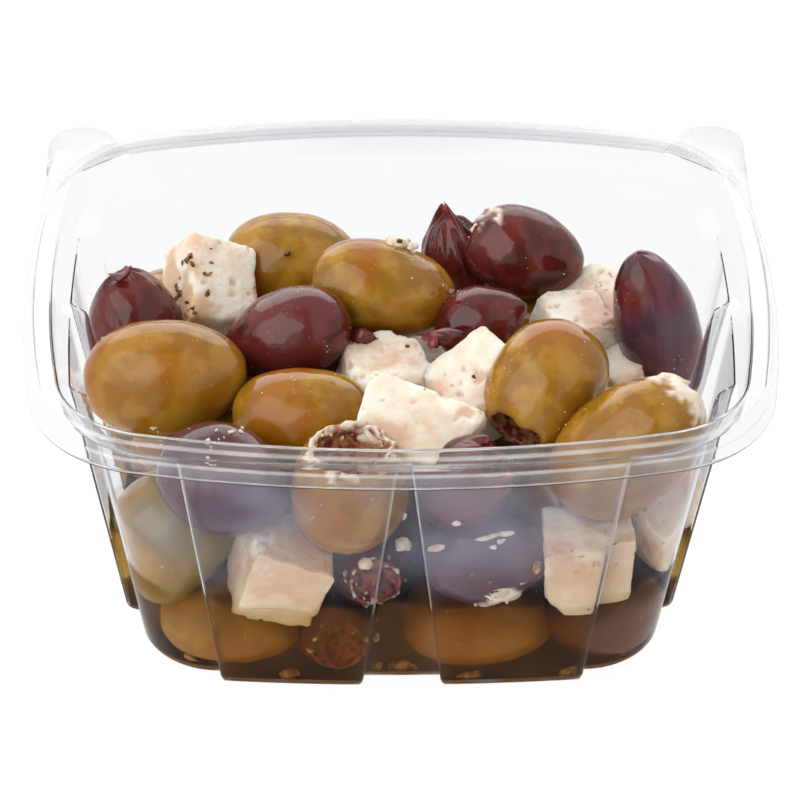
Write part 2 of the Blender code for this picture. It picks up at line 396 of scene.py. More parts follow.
@dataclass(frozen=True)
class TubShape:
    """Sizes of the tub, and the outlines of its wall and rim.

    `gap_half`, `long_end` and `short_end` are at the base and at the neck; other pairs of sizes are
    across and from front to rear. A `bow` is the radius of a gentle curve, a `run` the width of a
    panel's edge, crisp on the front and softer on the other walls, and an `end` the outer end of a
    panel. `frost` is the painted highlight on the rim's bands, as a row counted from its first and a
    share. The last eight fields are numbers of pieces or rows.

    Attributes:
        recess: How far the wall lies behind the panels in the gaps between them.
        recess_fade: Height over which the recesses run out under the neck.
        rim_profile: Corners of the rim's profile, as inset from the lip and height from the top.
        bend: Size of the bends in the rim's profile.
    """

    lip_half_x: float = CAD_BOX[1][0] / MM
    lip_half_y: float = -CAD_BOX[0][1] / MM
    rim_top: float = 62.0
    neck_bottom: float = 55.3
    thickness: float = 0.42
    base_half: Pair = (50.3, 41.2)
    neck_half: Pair = (60.0, 49.0)
    wall_bow: float = 365.0
    base_corner: float = 14.0
    neck_corner: float = 18.0
    fillet: float = 2.2
    recess: float = 2.8
    recess_fade: float = 2.2
    crisp_run: float = 0.25
    soft_run: float = 1.8
    gap_half: Pair = (7.0, 0.9)
    long_end: Pair = (32.3, 39.5)
    short_end: Pair = (19.5, 25.0)
    rim_bow: float = 220.0
    rim_corner: float = 24.0
    rim_profile: tuple[Pair, ...] = (
        (5.8, -6.0), (4.9, -1.15), (4.5, -0.67), (2.4, -1.0), (1.7, -4.0), (1.0, -5.75), (0.25, -6.0),
    )
    bend: float = 0.45
    # Painted highlight bands on the rim, standing in for its reflections of the bright room: a row and a
    # share each.
    frost: tuple[Pair, ...] = (
        (1.0, 0.0), (5.0, 0.01), (6.5, 0.26), (8.0, 0.04), (9.5, 0.05), (10.5, 0.42), (12.0, 0.04),
        (13.0, 0.03), (14.5, 0.4), (16.0, 0.06), (18.5, 0.02), (20.0, 0.05), (21.0, 0.34),
    )
    tab_middle: Pair = (59.3, 53.3)
    tab_radius: float = 6.5
    corner_steps: int = 24
    panel_steps: int = 10
    edge_steps: int = 4
    foot_steps: int = 6
    wall_steps: int = 8
    fade_steps: int = 5
    bend_steps: int = 3
    levels: int = 6

    @staticmethod
    def corner_centre(half_x: float, half_y: float, bow: float, radius: float) -> Pair:
        """Centre of a corner circle that touches two bowed walls from within.

        Args:
            half_x: Half width of the outline.
            half_y: Half depth of the outline.
            bow: Radius of the walls' curve.
            radius: Corner radius.

        Returns:
            The centre of the right rear corner.
        """
        rear_y, side_x = half_y - bow, half_x - bow
        apart = math.hypot(rear_y, side_x)
        reach = math.sqrt((bow - radius) ** 2 - (apart / 2) ** 2)
        return side_x / 2 - rear_y / apart * reach, rear_y / 2 - side_x / apart * reach

    def stations(self, gap: float, end: float, run: float) -> list[Pair]:
        """Places along half a wall from its middle.

        Args:
            gap: Half the gap between two panels.
            end: Outer end of the panel.
            run: Width of the panel's edges.

        Returns:
            Each place with how far the panel stands out there, from 0 to 1.
        """
        places = [(0.0, 0.0)]
        for step in range(self.edge_steps + 1):
            share = step / self.edge_steps
            places.append((gap + run * share, smooth(share)))
        for step in range(1, self.panel_steps):
            places.append((mix(gap + run, end + self.crisp_run - run, step / self.panel_steps), 1.0))
        for step in range(self.edge_steps + 1):
            share = step / self.edge_steps
            places.append((end + self.crisp_run - run * (1.0 - share), smooth(1.0 - share)))
        return places

    def loop(self, half_x: float, half_y: float, bow: float, radius: float, depth: float,
             gap: float, long_end: float, short_end: float) -> Array:
        """Closed outline, clockwise from the rear middle.

        Args:
            half_x: Half width at the panels.
            half_y: Half depth at the panels.
            bow: Radius of the walls' curve.
            radius: Corner radius.
            depth: How far the recesses lie behind the panels.
            gap: Half the gap between two panels.
            long_end: Outer end of a panel on the front and rear.
            short_end: Outer end of a panel on the sides.

        Returns:
            One row (x, y) for each point.
        """
        middle = self.corner_centre(half_x - depth, half_y - depth, bow, radius)
        start = math.atan2(middle[1] - (half_y - depth - bow), middle[0])
        finish = math.atan2(middle[1], middle[0] - (half_x - depth - bow))
        quarters = []
        for run in (self.soft_run, self.crisp_run):
            points = []
            for along, raised in self.stations(gap, long_end, run):
                out = half_y - bow + math.sqrt(bow**2 - along**2)
                points.append((along, out - depth * (1.0 - raised)))
            for step in range(self.corner_steps + 1):
                angle = mix(start, finish, step / self.corner_steps)
                points.append((middle[0] + radius * math.cos(angle), middle[1] + radius * math.sin(angle)))
            for along, raised in reversed(self.stations(gap, short_end, self.soft_run)):
                out = half_x - bow + math.sqrt(bow**2 - along**2)
                points.append((out - depth * (1.0 - raised), along))
            quarters.append(points)
        right = quarters[0] + [(x, -y) for x, y in reversed(quarters[1])][1:]
        left = [(-x, y) for x, y in reversed(right)][1:-1]
        return np.array(right + left)

    def wall(self, height: float, inset: float = 0.0, depth: float | None = None) -> Array:
        """Outline of the wall's outer face."""
        share = height / self.neck_bottom
        return self.loop(
            mix(self.base_half[0], self.neck_half[0], share) - inset,
            mix(self.base_half[1], self.neck_half[1], share) - inset,
            self.wall_bow,
            mix(self.base_corner, self.neck_corner, share) - inset,
            self.recess if depth is None else depth,
            mix(*self.gap_half, share) + inset,
            mix(*self.long_end, share) - inset,
            mix(*self.short_end, share) - inset,
        )

    def rim(self, inset: float) -> Array:
        """Outline of the rim."""
        return self.loop(
            self.lip_half_x - inset, self.lip_half_y - inset, self.rim_bow,
            self.rim_corner - inset, 0.0, self.gap_half[1], self.long_end[1], self.short_end[1],
        )

    def tab_reach(self, angle: float, centre: Pair) -> float:
        """How far the edge of a tab lies from the centre of its corner.

        Args:
            angle: Direction from the centre.
            centre: Centre of the corner.

        Returns:
            The distance, or 0 where the tab isn't in the way.
        """
        off_x, off_y = self.tab_middle[0] - centre[0], self.tab_middle[1] - centre[1]
        along = off_x * math.cos(angle) + off_y * math.sin(angle)
        aside = off_x * math.sin(angle) - off_y * math.cos(angle)
        side_line = (off_x + self.tab_radius) / math.cos(angle)
        if abs(aside) > self.tab_radius:
            return side_line if aside < 0.0 else 0.0
        if angle < math.atan2(off_y, off_x + self.tab_radius):
            return side_line
        return along + math.sqrt(self.tab_radius**2 - aside**2)

    def with_tabs(self, points: Array) -> Array:
        """Push the rear corners of the lip out to the finger tabs.

        Args:
            points: Outline of the lip.

        Returns:
            The outline with the tabs.
        """
        centre = self.corner_centre(self.lip_half_x, self.lip_half_y, self.rim_bow, self.rim_corner)
        pushed = points.copy()
        for row, (x, y) in enumerate(points):
            from_x, from_y = abs(x) - centre[0], y - centre[1]
            if from_x > 0.0 and from_y > 0.0:
                angle = math.atan2(from_y, from_x)
                reach = max(math.hypot(from_x, from_y), self.tab_reach(angle, centre))
                pushed[row] = (math.copysign(centre[0] + reach * math.cos(angle), x),
                               centre[1] + reach * math.sin(angle))
        return pushed

    def foot_rows(self, inset: float) -> list[Row]:
        """Rounded edge of the base, drawn in and lifted by an inset.

        Args:
            inset: How far it lies within the outer face.

        Returns:
            Outline and height of each row, from the base up.
        """
        rows = []
        for step in range(self.foot_steps + 1):
            angle = math.pi / 2 * step / self.foot_steps
            rise = self.fillet * (1.0 - math.cos(angle))
            shrink = self.fillet * (1.0 - math.sin(angle))
            rows.append((self.wall(rise, inset + shrink), rise + inset))
        return rows

    def wall_rows(self) -> list[Row]:
        """Outlines and heights of the sheet's outer face, from the base to the edge of the lip.

        Returns:
            Outline and height of each row, from the base up.
        """
        rows = self.foot_rows(0.0)
        fade_bottom = self.neck_bottom - self.recess_fade
        for step in range(1, self.wall_steps + 1):
            height = mix(self.fillet, fade_bottom, step / self.wall_steps)
            rows.append((self.wall(height), height))
        for step in range(1, self.fade_steps + 1):
            height = mix(fade_bottom, self.neck_bottom, step / self.fade_steps)
            depth = self.recess * (1.0 - smooth(step / self.fade_steps))
            rows.append((self.wall(height, depth=depth), height))
        corners = [(inset, self.rim_top + drop) for inset, drop in self.rim_profile]
        for inset, height in rounded(corners, self.bend, self.bend_steps):
            rows.append((self.rim(inset), height))
        rows[-1] = (self.with_tabs(rows[-1][0]), rows[-1][1])
        return rows

    def rim_highlight_rows(self, rows: int) -> Array:
        """Share of painted highlight on each row of the sheet, from the base to the edge of the lip."""
        below = self.foot_steps + 1 + self.wall_steps + self.fade_steps
        return np.concatenate([np.zeros(below), np.interp(np.arange(rows - below), *zip(*self.frost))])

    def creases(self) -> Array:
        """How far across a panel's edge each point of an outline lies.

        Returns:
            A share for each point, 0 on a panel and 1 in a gap or at a corner.
        """
        half_wall = [1.0 - raised for _, raised in self.stations(*self.gap_half, self.crisp_run)]
        quarter = half_wall + [1.0] * (self.corner_steps + 1) + half_wall[::-1]
        right = quarter + quarter[::-1][1:]
        return np.array(right + right[::-1][1:-1])

    def inner_reach(self, height: Array, angle: Array, gap: float) -> Array:
        """How far the inside of the wall lies from the tub's middle axis.

        Args:
            height: Heights of the places asked for.
            angle: Directions of the places from the axis.
            gap: Least distance kept from the wall's inner face.

        Returns:
            One distance for each place.
        """
        share = np.clip(height / self.neck_bottom, 0.0, 1.0) * self.levels
        low = np.minimum(share.astype(int), self.levels - 1)
        reaches = []
        for level in range(self.levels + 1):
            outline = self.wall(self.neck_bottom * level / self.levels, self.thickness + gap)
            bearing = np.arctan2(outline[:, 1], outline[:, 0])
            order = np.argsort(bearing)
            reaches.append(np.interp(angle, bearing[order], np.hypot(*outline[order].T),
                                     period=math.tau))
        table = np.stack(reaches)
        column = np.arange(len(height))
        return mix(table[low, column], table[low + 1, column], share - low)


TUB = TubShape()


@dataclass(frozen=True)
class ClearTub:
    """The clear tub, which is one thin sheet."""

    shape: TubShape = TUB

    def build(self, material: Material) -> None:
        """Make the sheet.

        Args:
            material: Clear plastic.
        """
        pile = MeshPile("clear_tub")
        pile.add(*lofted(self.shape.wall_rows(), close_top=False))
        dress(thickened(pile.build(material), self.shape.thickness), "tub")


@dataclass(frozen=True)
class Lining:
    """Layer within the sheet that dulls and whitens it: painted highlights on the rim's bands and the
    front panels' edges, mist, and settled spice that is partly painted shade under the base.

    Attributes:
        depth: How far the layer lies under the sheet's outer face.
        silt_and_shade_full: Height up to which the spice, partly painted shade, covers everything.
        silt_and_shade_fade: Height over which it thins out.
    """

    shape: TubShape = TUB
    depth: float = 0.25
    thickness: float = 0.05
    silt_and_shade_full: float = 0.7
    silt_and_shade_fade: float = 1.6

    def build(self, material: Material) -> None:
        """Make the layer, with numbers on every vertex that tell its finish where it shows.

        Args:
            material: Finish of the painted highlights, the mist and the settled spice.
        """
        rows = self.shape.wall_rows()
        vertices, faces = lofted(rows, close_top=False)
        heights = np.array([height for _, height in rows])
        # Settled spice at the base, which is also a dark layer painted as the shade under the tub's base.
        silt = 1.0 - smooth((heights - self.silt_and_shade_full) / self.silt_and_shade_fade)
        creases = self.shape.creases()
        pile = MeshPile("lining", ("frost", "crease", "silt"))
        # Numbers on every vertex: painted highlight on the rim's bands, place across the panels' edges, and
        # settled spice.
        pile.add(
            vertices, faces, frost=np.repeat(self.shape.rim_highlight_rows(len(rows)), len(creases)),
            silt=np.repeat(silt, len(creases)), crease=np.tile(creases, len(rows)),
        )
        dress(thickened(pile.build(material), self.thickness, self.depth))


@dataclass(frozen=True)
class Dressing:
    """The liquid, which reaches just into the wall and climbs it unevenly.

    Attributes:
        bite: How far it reaches into the sheet.
        climb: How far it climbs the wall.
        meniscus: Rows of its curved edge, as distance from the wall and height over the level.
    """

    shape: TubShape = TUB
    level: float = 19.0
    bite: float = 0.15
    climb: float = 0.6
    meniscus: tuple[Pair, ...] = ((0.3, 0.35), (0.8, 0.12), (1.6, 0.0))
    side_steps: int = 3
    waver: Bumps = Bumps(9.0, 3, 17)
    waver_height: float = 0.9

    def build(self, material: Material) -> None:
        """Make the liquid.

        Args:
            material: Finish of the liquid.
        """
        inset = self.shape.thickness - self.bite
        rows = self.shape.foot_rows(inset)
        for step in range(1, self.side_steps + 1):
            height = mix(self.shape.fillet + inset, self.level + self.climb, step / self.side_steps)
            rows.append((self.shape.wall(height, inset), height))
        for out, rise in self.meniscus:
            rows.append((self.shape.wall(self.level, inset + out), self.level + rise))
        vertices, faces = lofted(rows, close_top=True)
        climb = smooth((vertices[:, 2] - self.level + 0.01) / self.climb)
        vertices[:, 2] += climb * self.waver_height * self.waver.at(vertices * (1.0, 1.0, 0.0))
        pile = MeshPile("dressing")
        pile.add(vertices, faces)
        dress(pile.build(material), "brine")


@dataclass(frozen=True)
class WallLimit:
    """Keeps the food inside the tub.

    Attributes:
        contact: Pattern of the places where food isn't pressed quite to the wall.
        contact_bias: Share of the pattern's height by which such places are widened.
        contact_depth: How far the food stands off there.
    """

    shape: TubShape = TUB
    gap: float = 0.12
    floor_gap: float = 0.1
    contact: Bumps = Bumps(5.0, 3, 41)
    contact_bias: float = 0.1
    contact_depth: float = 0.35

    def press(self, points: Array) -> Array:
        """Press a shape flat where it would pass through the wall or the base.

        Args:
            points: Places of the shape.

        Returns:
            The places inside the tub.
        """
        held = points.copy()
        held[:, 2] = np.maximum(held[:, 2], self.shape.thickness + self.floor_gap)
        reach = np.hypot(held[:, 0], held[:, 1])
        limit = self.shape.inner_reach(held[:, 2], np.arctan2(held[:, 1], held[:, 0]), self.gap)
        limit -= self.contact_depth * np.maximum(self.contact.at(points) + self.contact_bias, 0.0)
        held[:, :2] *= np.minimum(1.0, limit / np.maximum(reach, 0.01))[:, None]
        return held


LIMIT = WallLimit()


# ---------------------------------------------------------------- olives and cheese


class Food(Enum):
    """Kinds of food in the tub."""

    GREEN = "green"
    DARK = "dark"
    FETA = "feta"


@dataclass(frozen=True)
class Morsel:
    """One olive or cube of cheese.

    Attributes:
        food: What it is.
        middle: Its middle, in millimetres.
        along: The way its long axis points; an olive's pointed or pitted end lies that way.
        size: Length along the axis, width and thickness.
        roll: Turn about the long axis, in degrees.
        point: How pointed an olive's far end is, from 0 to 1.
        hole: Radius of the hole left by the stone, or 0.
        tear: How ragged the edge of the hole is.
        deep: Depth of the hole as a share of the length.
        cheese: The side on which cheese is smeared, or None.
        cool: Share of the greener or bluer skin colour; on a cube, of stained juice.
        crumbed: How much cheese sticks to the edge of the hole.
        smear: How far the smear reaches; 1 is about a third of the side.
        wrinkle: Depth of the creases that run along the skin.
        fine: Whether it is drawn closely enough to be seen from near by.
    """

    food: Food
    middle: Triple
    along: Triple
    size: Triple
    roll: float = 0.0
    point: float = 0.0
    hole: float = 0.0
    tear: float = 0.0
    deep: float = 0.36
    cheese: Triple | None = None
    cool: float = 0.0
    crumbed: float = 0.0
    smear: float = 1.0
    wrinkle: float = 0.0
    fine: bool = True


G, D, F = Food.GREEN, Food.DARK, Food.FETA
MORSELS = (
    # Rear of the top
    Morsel(G, (-20, 31, 44.5), (1, 0, 0), (25.5, 19, 18)),
    Morsel(D, (11, 31, 45.5), (-0.2, 0.1, 0.95), (21, 13.5, 13), point=0.5, hole=0.8, tear=1.2,
           wrinkle=0.5),
    Morsel(D, (23.3, 27, 49.3), (1, 0, -0.3), (22.5, 17.5, 17), 40, 0.2, cheese=(-0.65, 0.1, 0.9),
           smear=0.14),
    Morsel(F, (-35.2, 19.6, 45.6), (0.88, 0.3, -0.42), (13, 17, 13), 35, cheese=(-1, -0.4, 0.1)),
    Morsel(F, (32, 12, 41.2), (0.93, 0.3, -0.2), (12.5, 13, 11)),
    Morsel(F, (37.5, 20, 37.6), (0.75, 0.55, 0.25), (17, 15, 15), cheese=(0.1, -0.4, -0.9)),
    # Middle of the top
    Morsel(D, (-48.6, 10, 44.8), (-0.12, 0.2, 0.95), (21.5, 17.5, 17), hole=1.3, tear=0.7),
    Morsel(G, (-3, 14, 50), (1, 0, -0.2), (27.5, 17.7, 17.5), 30, wrinkle=0.15),
    Morsel(D, (-20.5, 2, 48.1), (-0.93, 0.05, -0.4), (25, 17.2, 16.5), point=0.4),
    Morsel(D, (14.7, 8, 46.8), (0.9, 0, 0.4), (17.8, 14, 13.6), point=0.3),
    Morsel(D, (47.2, 8, 46.1), (-0.26, 0, 1), (32, 16.4, 15.6), hole=0.7, tear=0.2, wrinkle=0.06,
           cool=0.85),
    Morsel(G, (-42.6, -9, 46.4), (1, 0, 0.1), (29.3, 20.6, 20.3)),
    Morsel(F, (-3.2, -4, 41.8), (1, 0.25, -0.05), (15, 14.5, 12)),
    Morsel(F, (14.4, -9, 42.8), (0.82, 0.5, 0.3), (17, 14, 13.5), 12),
    Morsel(F, (42, 8, 36), (0.7, 0.5, 0.3), (13, 13, 12)),
    # Front of the top
    Morsel(G, (-17.6, -17, 43.4), (1, 0, 0.1), (26.3, 18, 17.5)),
    Morsel(F, (2.4, -24.5, 44.2), (0.92, -0.36, -0.2), (19.5, 14.5, 15), 30, cheese=(0.1, -0.6, 0.3),
           cool=0.3),
    Morsel(G, (25.8, -14.2, 47.9), (-0.5, -0.72, -0.48), (25.4, 20.5, 19.6), hole=5.8, tear=0.5),
    Morsel(G, (40, -29, 45), (0.72, 0, 0.7), (32, 21.5, 21), cheese=(0.72, 0.35, 0.6), smear=1.1),
    Morsel(D, (-31.5, -33.5, 41.3), (0.85, -0.3, -0.2), (24, 19.5, 19), point=0.2, cool=0.8),
    Morsel(G, (-9.4, -35.4, 41.5), (0.03, -0.12, 1), (25.5, 20.8, 20.5), hole=7.2, tear=0.9,
           crumbed=0.75),
    Morsel(D, (11, -33, 40.6), (0.55, -0.3, 0.7), (21, 16, 16), hole=4.2, tear=1.3, deep=0.2),
    # Against the front wall
    Morsel(G, (-41.3, -27.5, 25.8), (0.6, 0.1, 0.7), (27, 23, 22), cool=0.8),
    Morsel(F, (-21.6, -36.7, 24.6), (0.95, 0.15, -0.25), (15.3, 14, 15.6), 20, cheese=(0.5, -1, 0.6),
           cool=0.8),
    Morsel(D, (-6.2, -33.5, 21.6), (0.2, -1, 0.3), (20, 13.5, 12.5), hole=4.8, tear=1.0, deep=0.14,
           crumbed=0.45),
    Morsel(D, (14.7, -36.3, 26.4), (1, 0, 0.08), (22.3, 17, 16.5), cheese=(0.3, -0.6, -0.75),
           smear=0.8, cool=0.7),
    Morsel(F, (33.2, -36.2, 24.8), (1, 0.03, 0.02), (15.5, 14.5, 15.5), cheese=(0.3, -1, 0.2), cool=0.55),
    Morsel(F, (47.5, -23.5, 27), (0.75, 0.65, 0.2), (15, 14, 14), 15),
    # In the brine
    Morsel(G, (-30.5, -31, 9.6), (1, -0.05, -0.05), (26.5, 17.5, 16.5)),
    Morsel(D, (-12, -32.5, 7.9), (0.1, -1, 0.05), (19, 14.5, 13.5), hole=5.2, tear=0.8, deep=0.12,
           crumbed=0.35),
    Morsel(G, (13.5, -31.5, 8.6), (1, 0, 0), (28, 16.5, 15.5)),
    Morsel(D, (36.5, -30, 9.8), (-0.95, -0.3, 0.05), (23, 17, 16.5), point=0.2, cool=0.4),
)


@dataclass(frozen=True)
class Olive:
    """Shape of one olive, which may be torn, wrinkled or smeared with cheese.

    Pairs hold a strength first and then a width or a place, but `plumpness` is of a green and of a
    dark olive, and `ragged_height` of a shallow and of a deep hole.

    Attributes:
        lip: Points of the hole's torn lip, as inset from the hole's radius and rise.
        hole_wall: Thickness of flesh that hangs into the hole.
        smear_reach: Reach of a smear of size 1, as 1 less the cosine of its half angle.
    """

    morsel: Morsel
    seed: int
    fine_mesh: tuple[int, int] = (46, 56)
    plain_mesh: tuple[int, int] = (20, 26)
    plumpness: Pair = (2.35, 2.1)
    taper: float = 0.07
    narrowing: Pair = (0.42, 0.15)
    dimple: Pair = (0.45, 0.035)
    stem: Pair = (0.5, 1.6)
    tip: Pair = (1.1, 1.3)
    lip: tuple[Pair, ...] = ((0.12, 0.25), (0.42, 0.2), (0.78, -0.3))
    hole_wall: float = 0.9
    hole_round: float = 2.4
    hole_belly: float = 0.15
    swell: Bumps = Bumps(13.0, 2, 0, 0.75)
    dimples: Bumps = Bumps(4.5, 3, 5, 0.16)
    crease_pitch: float = 3.2
    crease_length: float = 9.0
    crease_depth: float = 2.4
    ragged: Bumps = Bumps(1.5, 3, 3)
    ragged_height: Pair = (1.1, 0.55)
    shallow: float = 0.3
    tear_pitch: float = 2.1
    tear_reach: float = 2.2
    smear: Bumps = Bumps(2.2, 3, 11)
    smear_reach: float = 0.16
    crumbs: Bumps = Bumps(1.1, 3, 17)
    cool_patches: Bumps = Bumps(9.0, 3, 13)
    scar_size: float = 3.0

    def profile(self, rings: int) -> tuple[Array, Array, Array]:
        """Profile from the stem end, over the far end and into the hole if there is one.

        Args:
            rings: Points along the outside.

        Returns:
            Places along the axis, distances from the axis, and 1 where the profile is cut flesh.
        """
        morsel = self.morsel
        place = -np.cos(np.linspace(0.0, math.pi, rings))
        plump = self.plumpness[0 if morsel.food is G else 1]
        narrowing, start = self.narrowing
        depth, width = self.dimple
        reach = np.sqrt(np.maximum(1.0 - np.abs(place) ** plump, 0.0)) * (1.0 - self.taper * place)
        reach *= 1.0 - narrowing * morsel.point * smooth((place - start) / (1.0 - start))
        reach *= 1.0 - depth * np.exp(-(((place + 1.0) / width) ** 2))
        axial, radial = place * morsel.size[0] / 2, reach * morsel.size[1] / 2
        axial += self.stem[0] * np.exp(-((radial / self.stem[1]) ** 2)) * (place < 0.0)
        axial += self.tip[0] * morsel.point * np.exp(-((radial / self.tip[1]) ** 2)) * (place > 0.0)
        if not morsel.hole:
            return axial, radial, np.zeros(rings)
        outside = (place < 0.0) | (radial > morsel.hole)
        return self.hollowed(axial[outside], radial[outside], rings // 2)

    def hollowed(self, axial: Array, radial: Array, steps: int) -> tuple[Array, Array, Array]:
        """Carry a profile over the lip of the hole and down to its bottom.

        Args:
            axial: Places of the outside along the axis.
            radial: Their distances from the axis.
            steps: Points down the hole.

        Returns:
            Places along the axis, distances from the axis, and 1 where the profile is cut flesh.
        """
        inset, rise = np.array(self.lip).T
        share = np.linspace(0.0, 1.0, steps)[1:]
        lip_axial = axial[-1] + rise
        bottom = lip_axial[-1] - self.morsel.size[0] * self.morsel.deep * share
        wall = self.morsel.hole - self.hole_wall
        inner = wall * np.sqrt(np.maximum(1.0 - share**self.hole_round, 0.0))
        inner *= 1.0 + self.hole_belly * np.sin(math.pi * share)
        return (
            np.concatenate([axial, lip_axial, bottom]),
            np.concatenate([radial, self.morsel.hole - inset, inner]),
            np.concatenate([np.zeros(len(axial)), [0.5, 1.0, 1.0], np.ones(len(share))]),
        )

    def bumps(self, points: Array, flesh: Array) -> Array:
        """How far bumps and creases push the surface out.

        Args:
            points: Places on the smooth olive, about its own middle.
            flesh: 1 where the surface is cut flesh.

        Returns:
            One distance for each place.
        """
        skin = self.swell.at(points, self.seed) + self.dimples.at(points, self.seed)
        if self.morsel.wrinkle:
            folds = lattice_noise(self.around(points, self.crease_pitch, self.crease_length), self.seed + 9)
            skin -= self.morsel.wrinkle * self.crease_depth * np.maximum(folds, 0.0)
        height = self.ragged_height[0 if self.morsel.deep < self.shallow else 1]
        ragged = self.ragged.at(points, self.seed) * height
        near_axis = np.minimum(np.linalg.norm(points[:, 1:], axis=1) / 2, 1.0)
        return np.where(flesh > 0.5, ragged, skin) * near_axis

    @staticmethod
    def around(points: Array, pitch: float, length: float) -> Array:
        """Places for a pattern that runs around the olive."""
        bearing = np.arctan2(points[:, 2], points[:, 1])
        return np.stack([np.cos(bearing) * pitch, np.sin(bearing) * pitch, points[:, 0] / length], axis=1)

    def near_hole(self, points: Array, axial: Array, radial: Array) -> Array:
        """How near to the edge of the hole places lie.

        Args:
            points: Places on the olive.
            axial: Places of the profile along the axis.
            radial: Their distances from the axis.

        Returns:
            1 at the edge, and less away from it.
        """
        widest = int(np.argmax(radial))
        edge = axial[widest + int(np.argmax(radial[widest:] <= self.morsel.hole))]
        return np.exp(-(((points[:, 0] - edge) / self.tear_reach) ** 2))

    def smeared(self, placed: Array, way: Array, skin: Array) -> tuple[Array, Array]:
        """Cheese on one side of the olive.

        Args:
            placed: Places on the turned olive, about its own middle.
            way: The way that leads outwards at each place.
            skin: 1 where the surface is skin.

        Returns:
            The raised places and how much cheese covers each.
        """
        side = np.array(self.morsel.cheese) / np.linalg.norm(self.morsel.cheese)
        facing = (placed / np.linalg.norm(placed, axis=1)[:, None]) @ side
        lumps = self.smear.at(placed, self.seed)
        edge = facing - 1.0 + self.smear_reach * self.morsel.smear + self.smear_reach * lumps
        cheese = smooth(edge / 0.05) * skin
        facing_side = (placed @ side > 0)[:, None]
        return placed + facing_side * way * (cheese * (0.45 + 0.5 * lumps))[:, None], cheese

    def shape(self) -> tuple[Array, list[Face], Traits]:
        """Shape of the olive in its place.

        Returns:
            Vertices, faces and the traits of every vertex.
        """
        morsel, seed = self.morsel, self.seed
        rings, steps = self.fine_mesh if morsel.fine else self.plain_mesh
        axial, radial, flesh = self.profile(rings)
        points, faces = lathed(axial, radial, steps, morsel.size[2] / morsel.size[1])
        flesh = np.concatenate([np.repeat(flesh[1:-1], steps), [flesh[0], flesh[-1]]])
        skin = 1.0 - flesh
        outward = points / np.maximum(np.linalg.norm(points, axis=1), 0.1)[:, None]
        push = self.bumps(points, flesh)
        near = np.zeros(len(points))
        if morsel.tear:
            tears = lattice_noise(self.around(points, self.tear_pitch, math.inf), seed + 7)
            near = self.near_hole(points, axial, radial)
            points[:, 0] += morsel.tear * near * (tears * 1.4 - 0.2)
        points = points + outward * push[:, None]
        turn = aim(morsel.along, morsel.roll)
        placed, way = points @ turn.T, outward @ turn.T
        cheese = np.zeros(len(points))
        if morsel.cheese:
            placed, cheese = self.smeared(placed, way, skin)
        if morsel.crumbed:
            lumps = self.crumbs.at(placed, seed)
            band = smooth((near * morsel.crumbed + lumps - 0.7) / 0.15)
            cheese = np.maximum(cheese, band)
            placed = placed + way * (band * (0.25 + 0.5 * lumps))[:, None]
        from_stem = (points[:, 0] - axial[0]) ** 2 + points[:, 1] ** 2 + points[:, 2] ** 2
        cool = morsel.cool * smooth(0.75 + self.cool_patches.at(placed, seed) * 0.9)
        return placed + np.array(morsel.middle), faces, {
            "flesh": flesh,
            "cheese": cheese,
            "scar": np.exp(-from_stem / self.scar_size) * skin,
            "tone": np.full(len(points), math.sin(seed * 12.9898) * 43758.5 % 1.0),
            "cool": cool,
        }


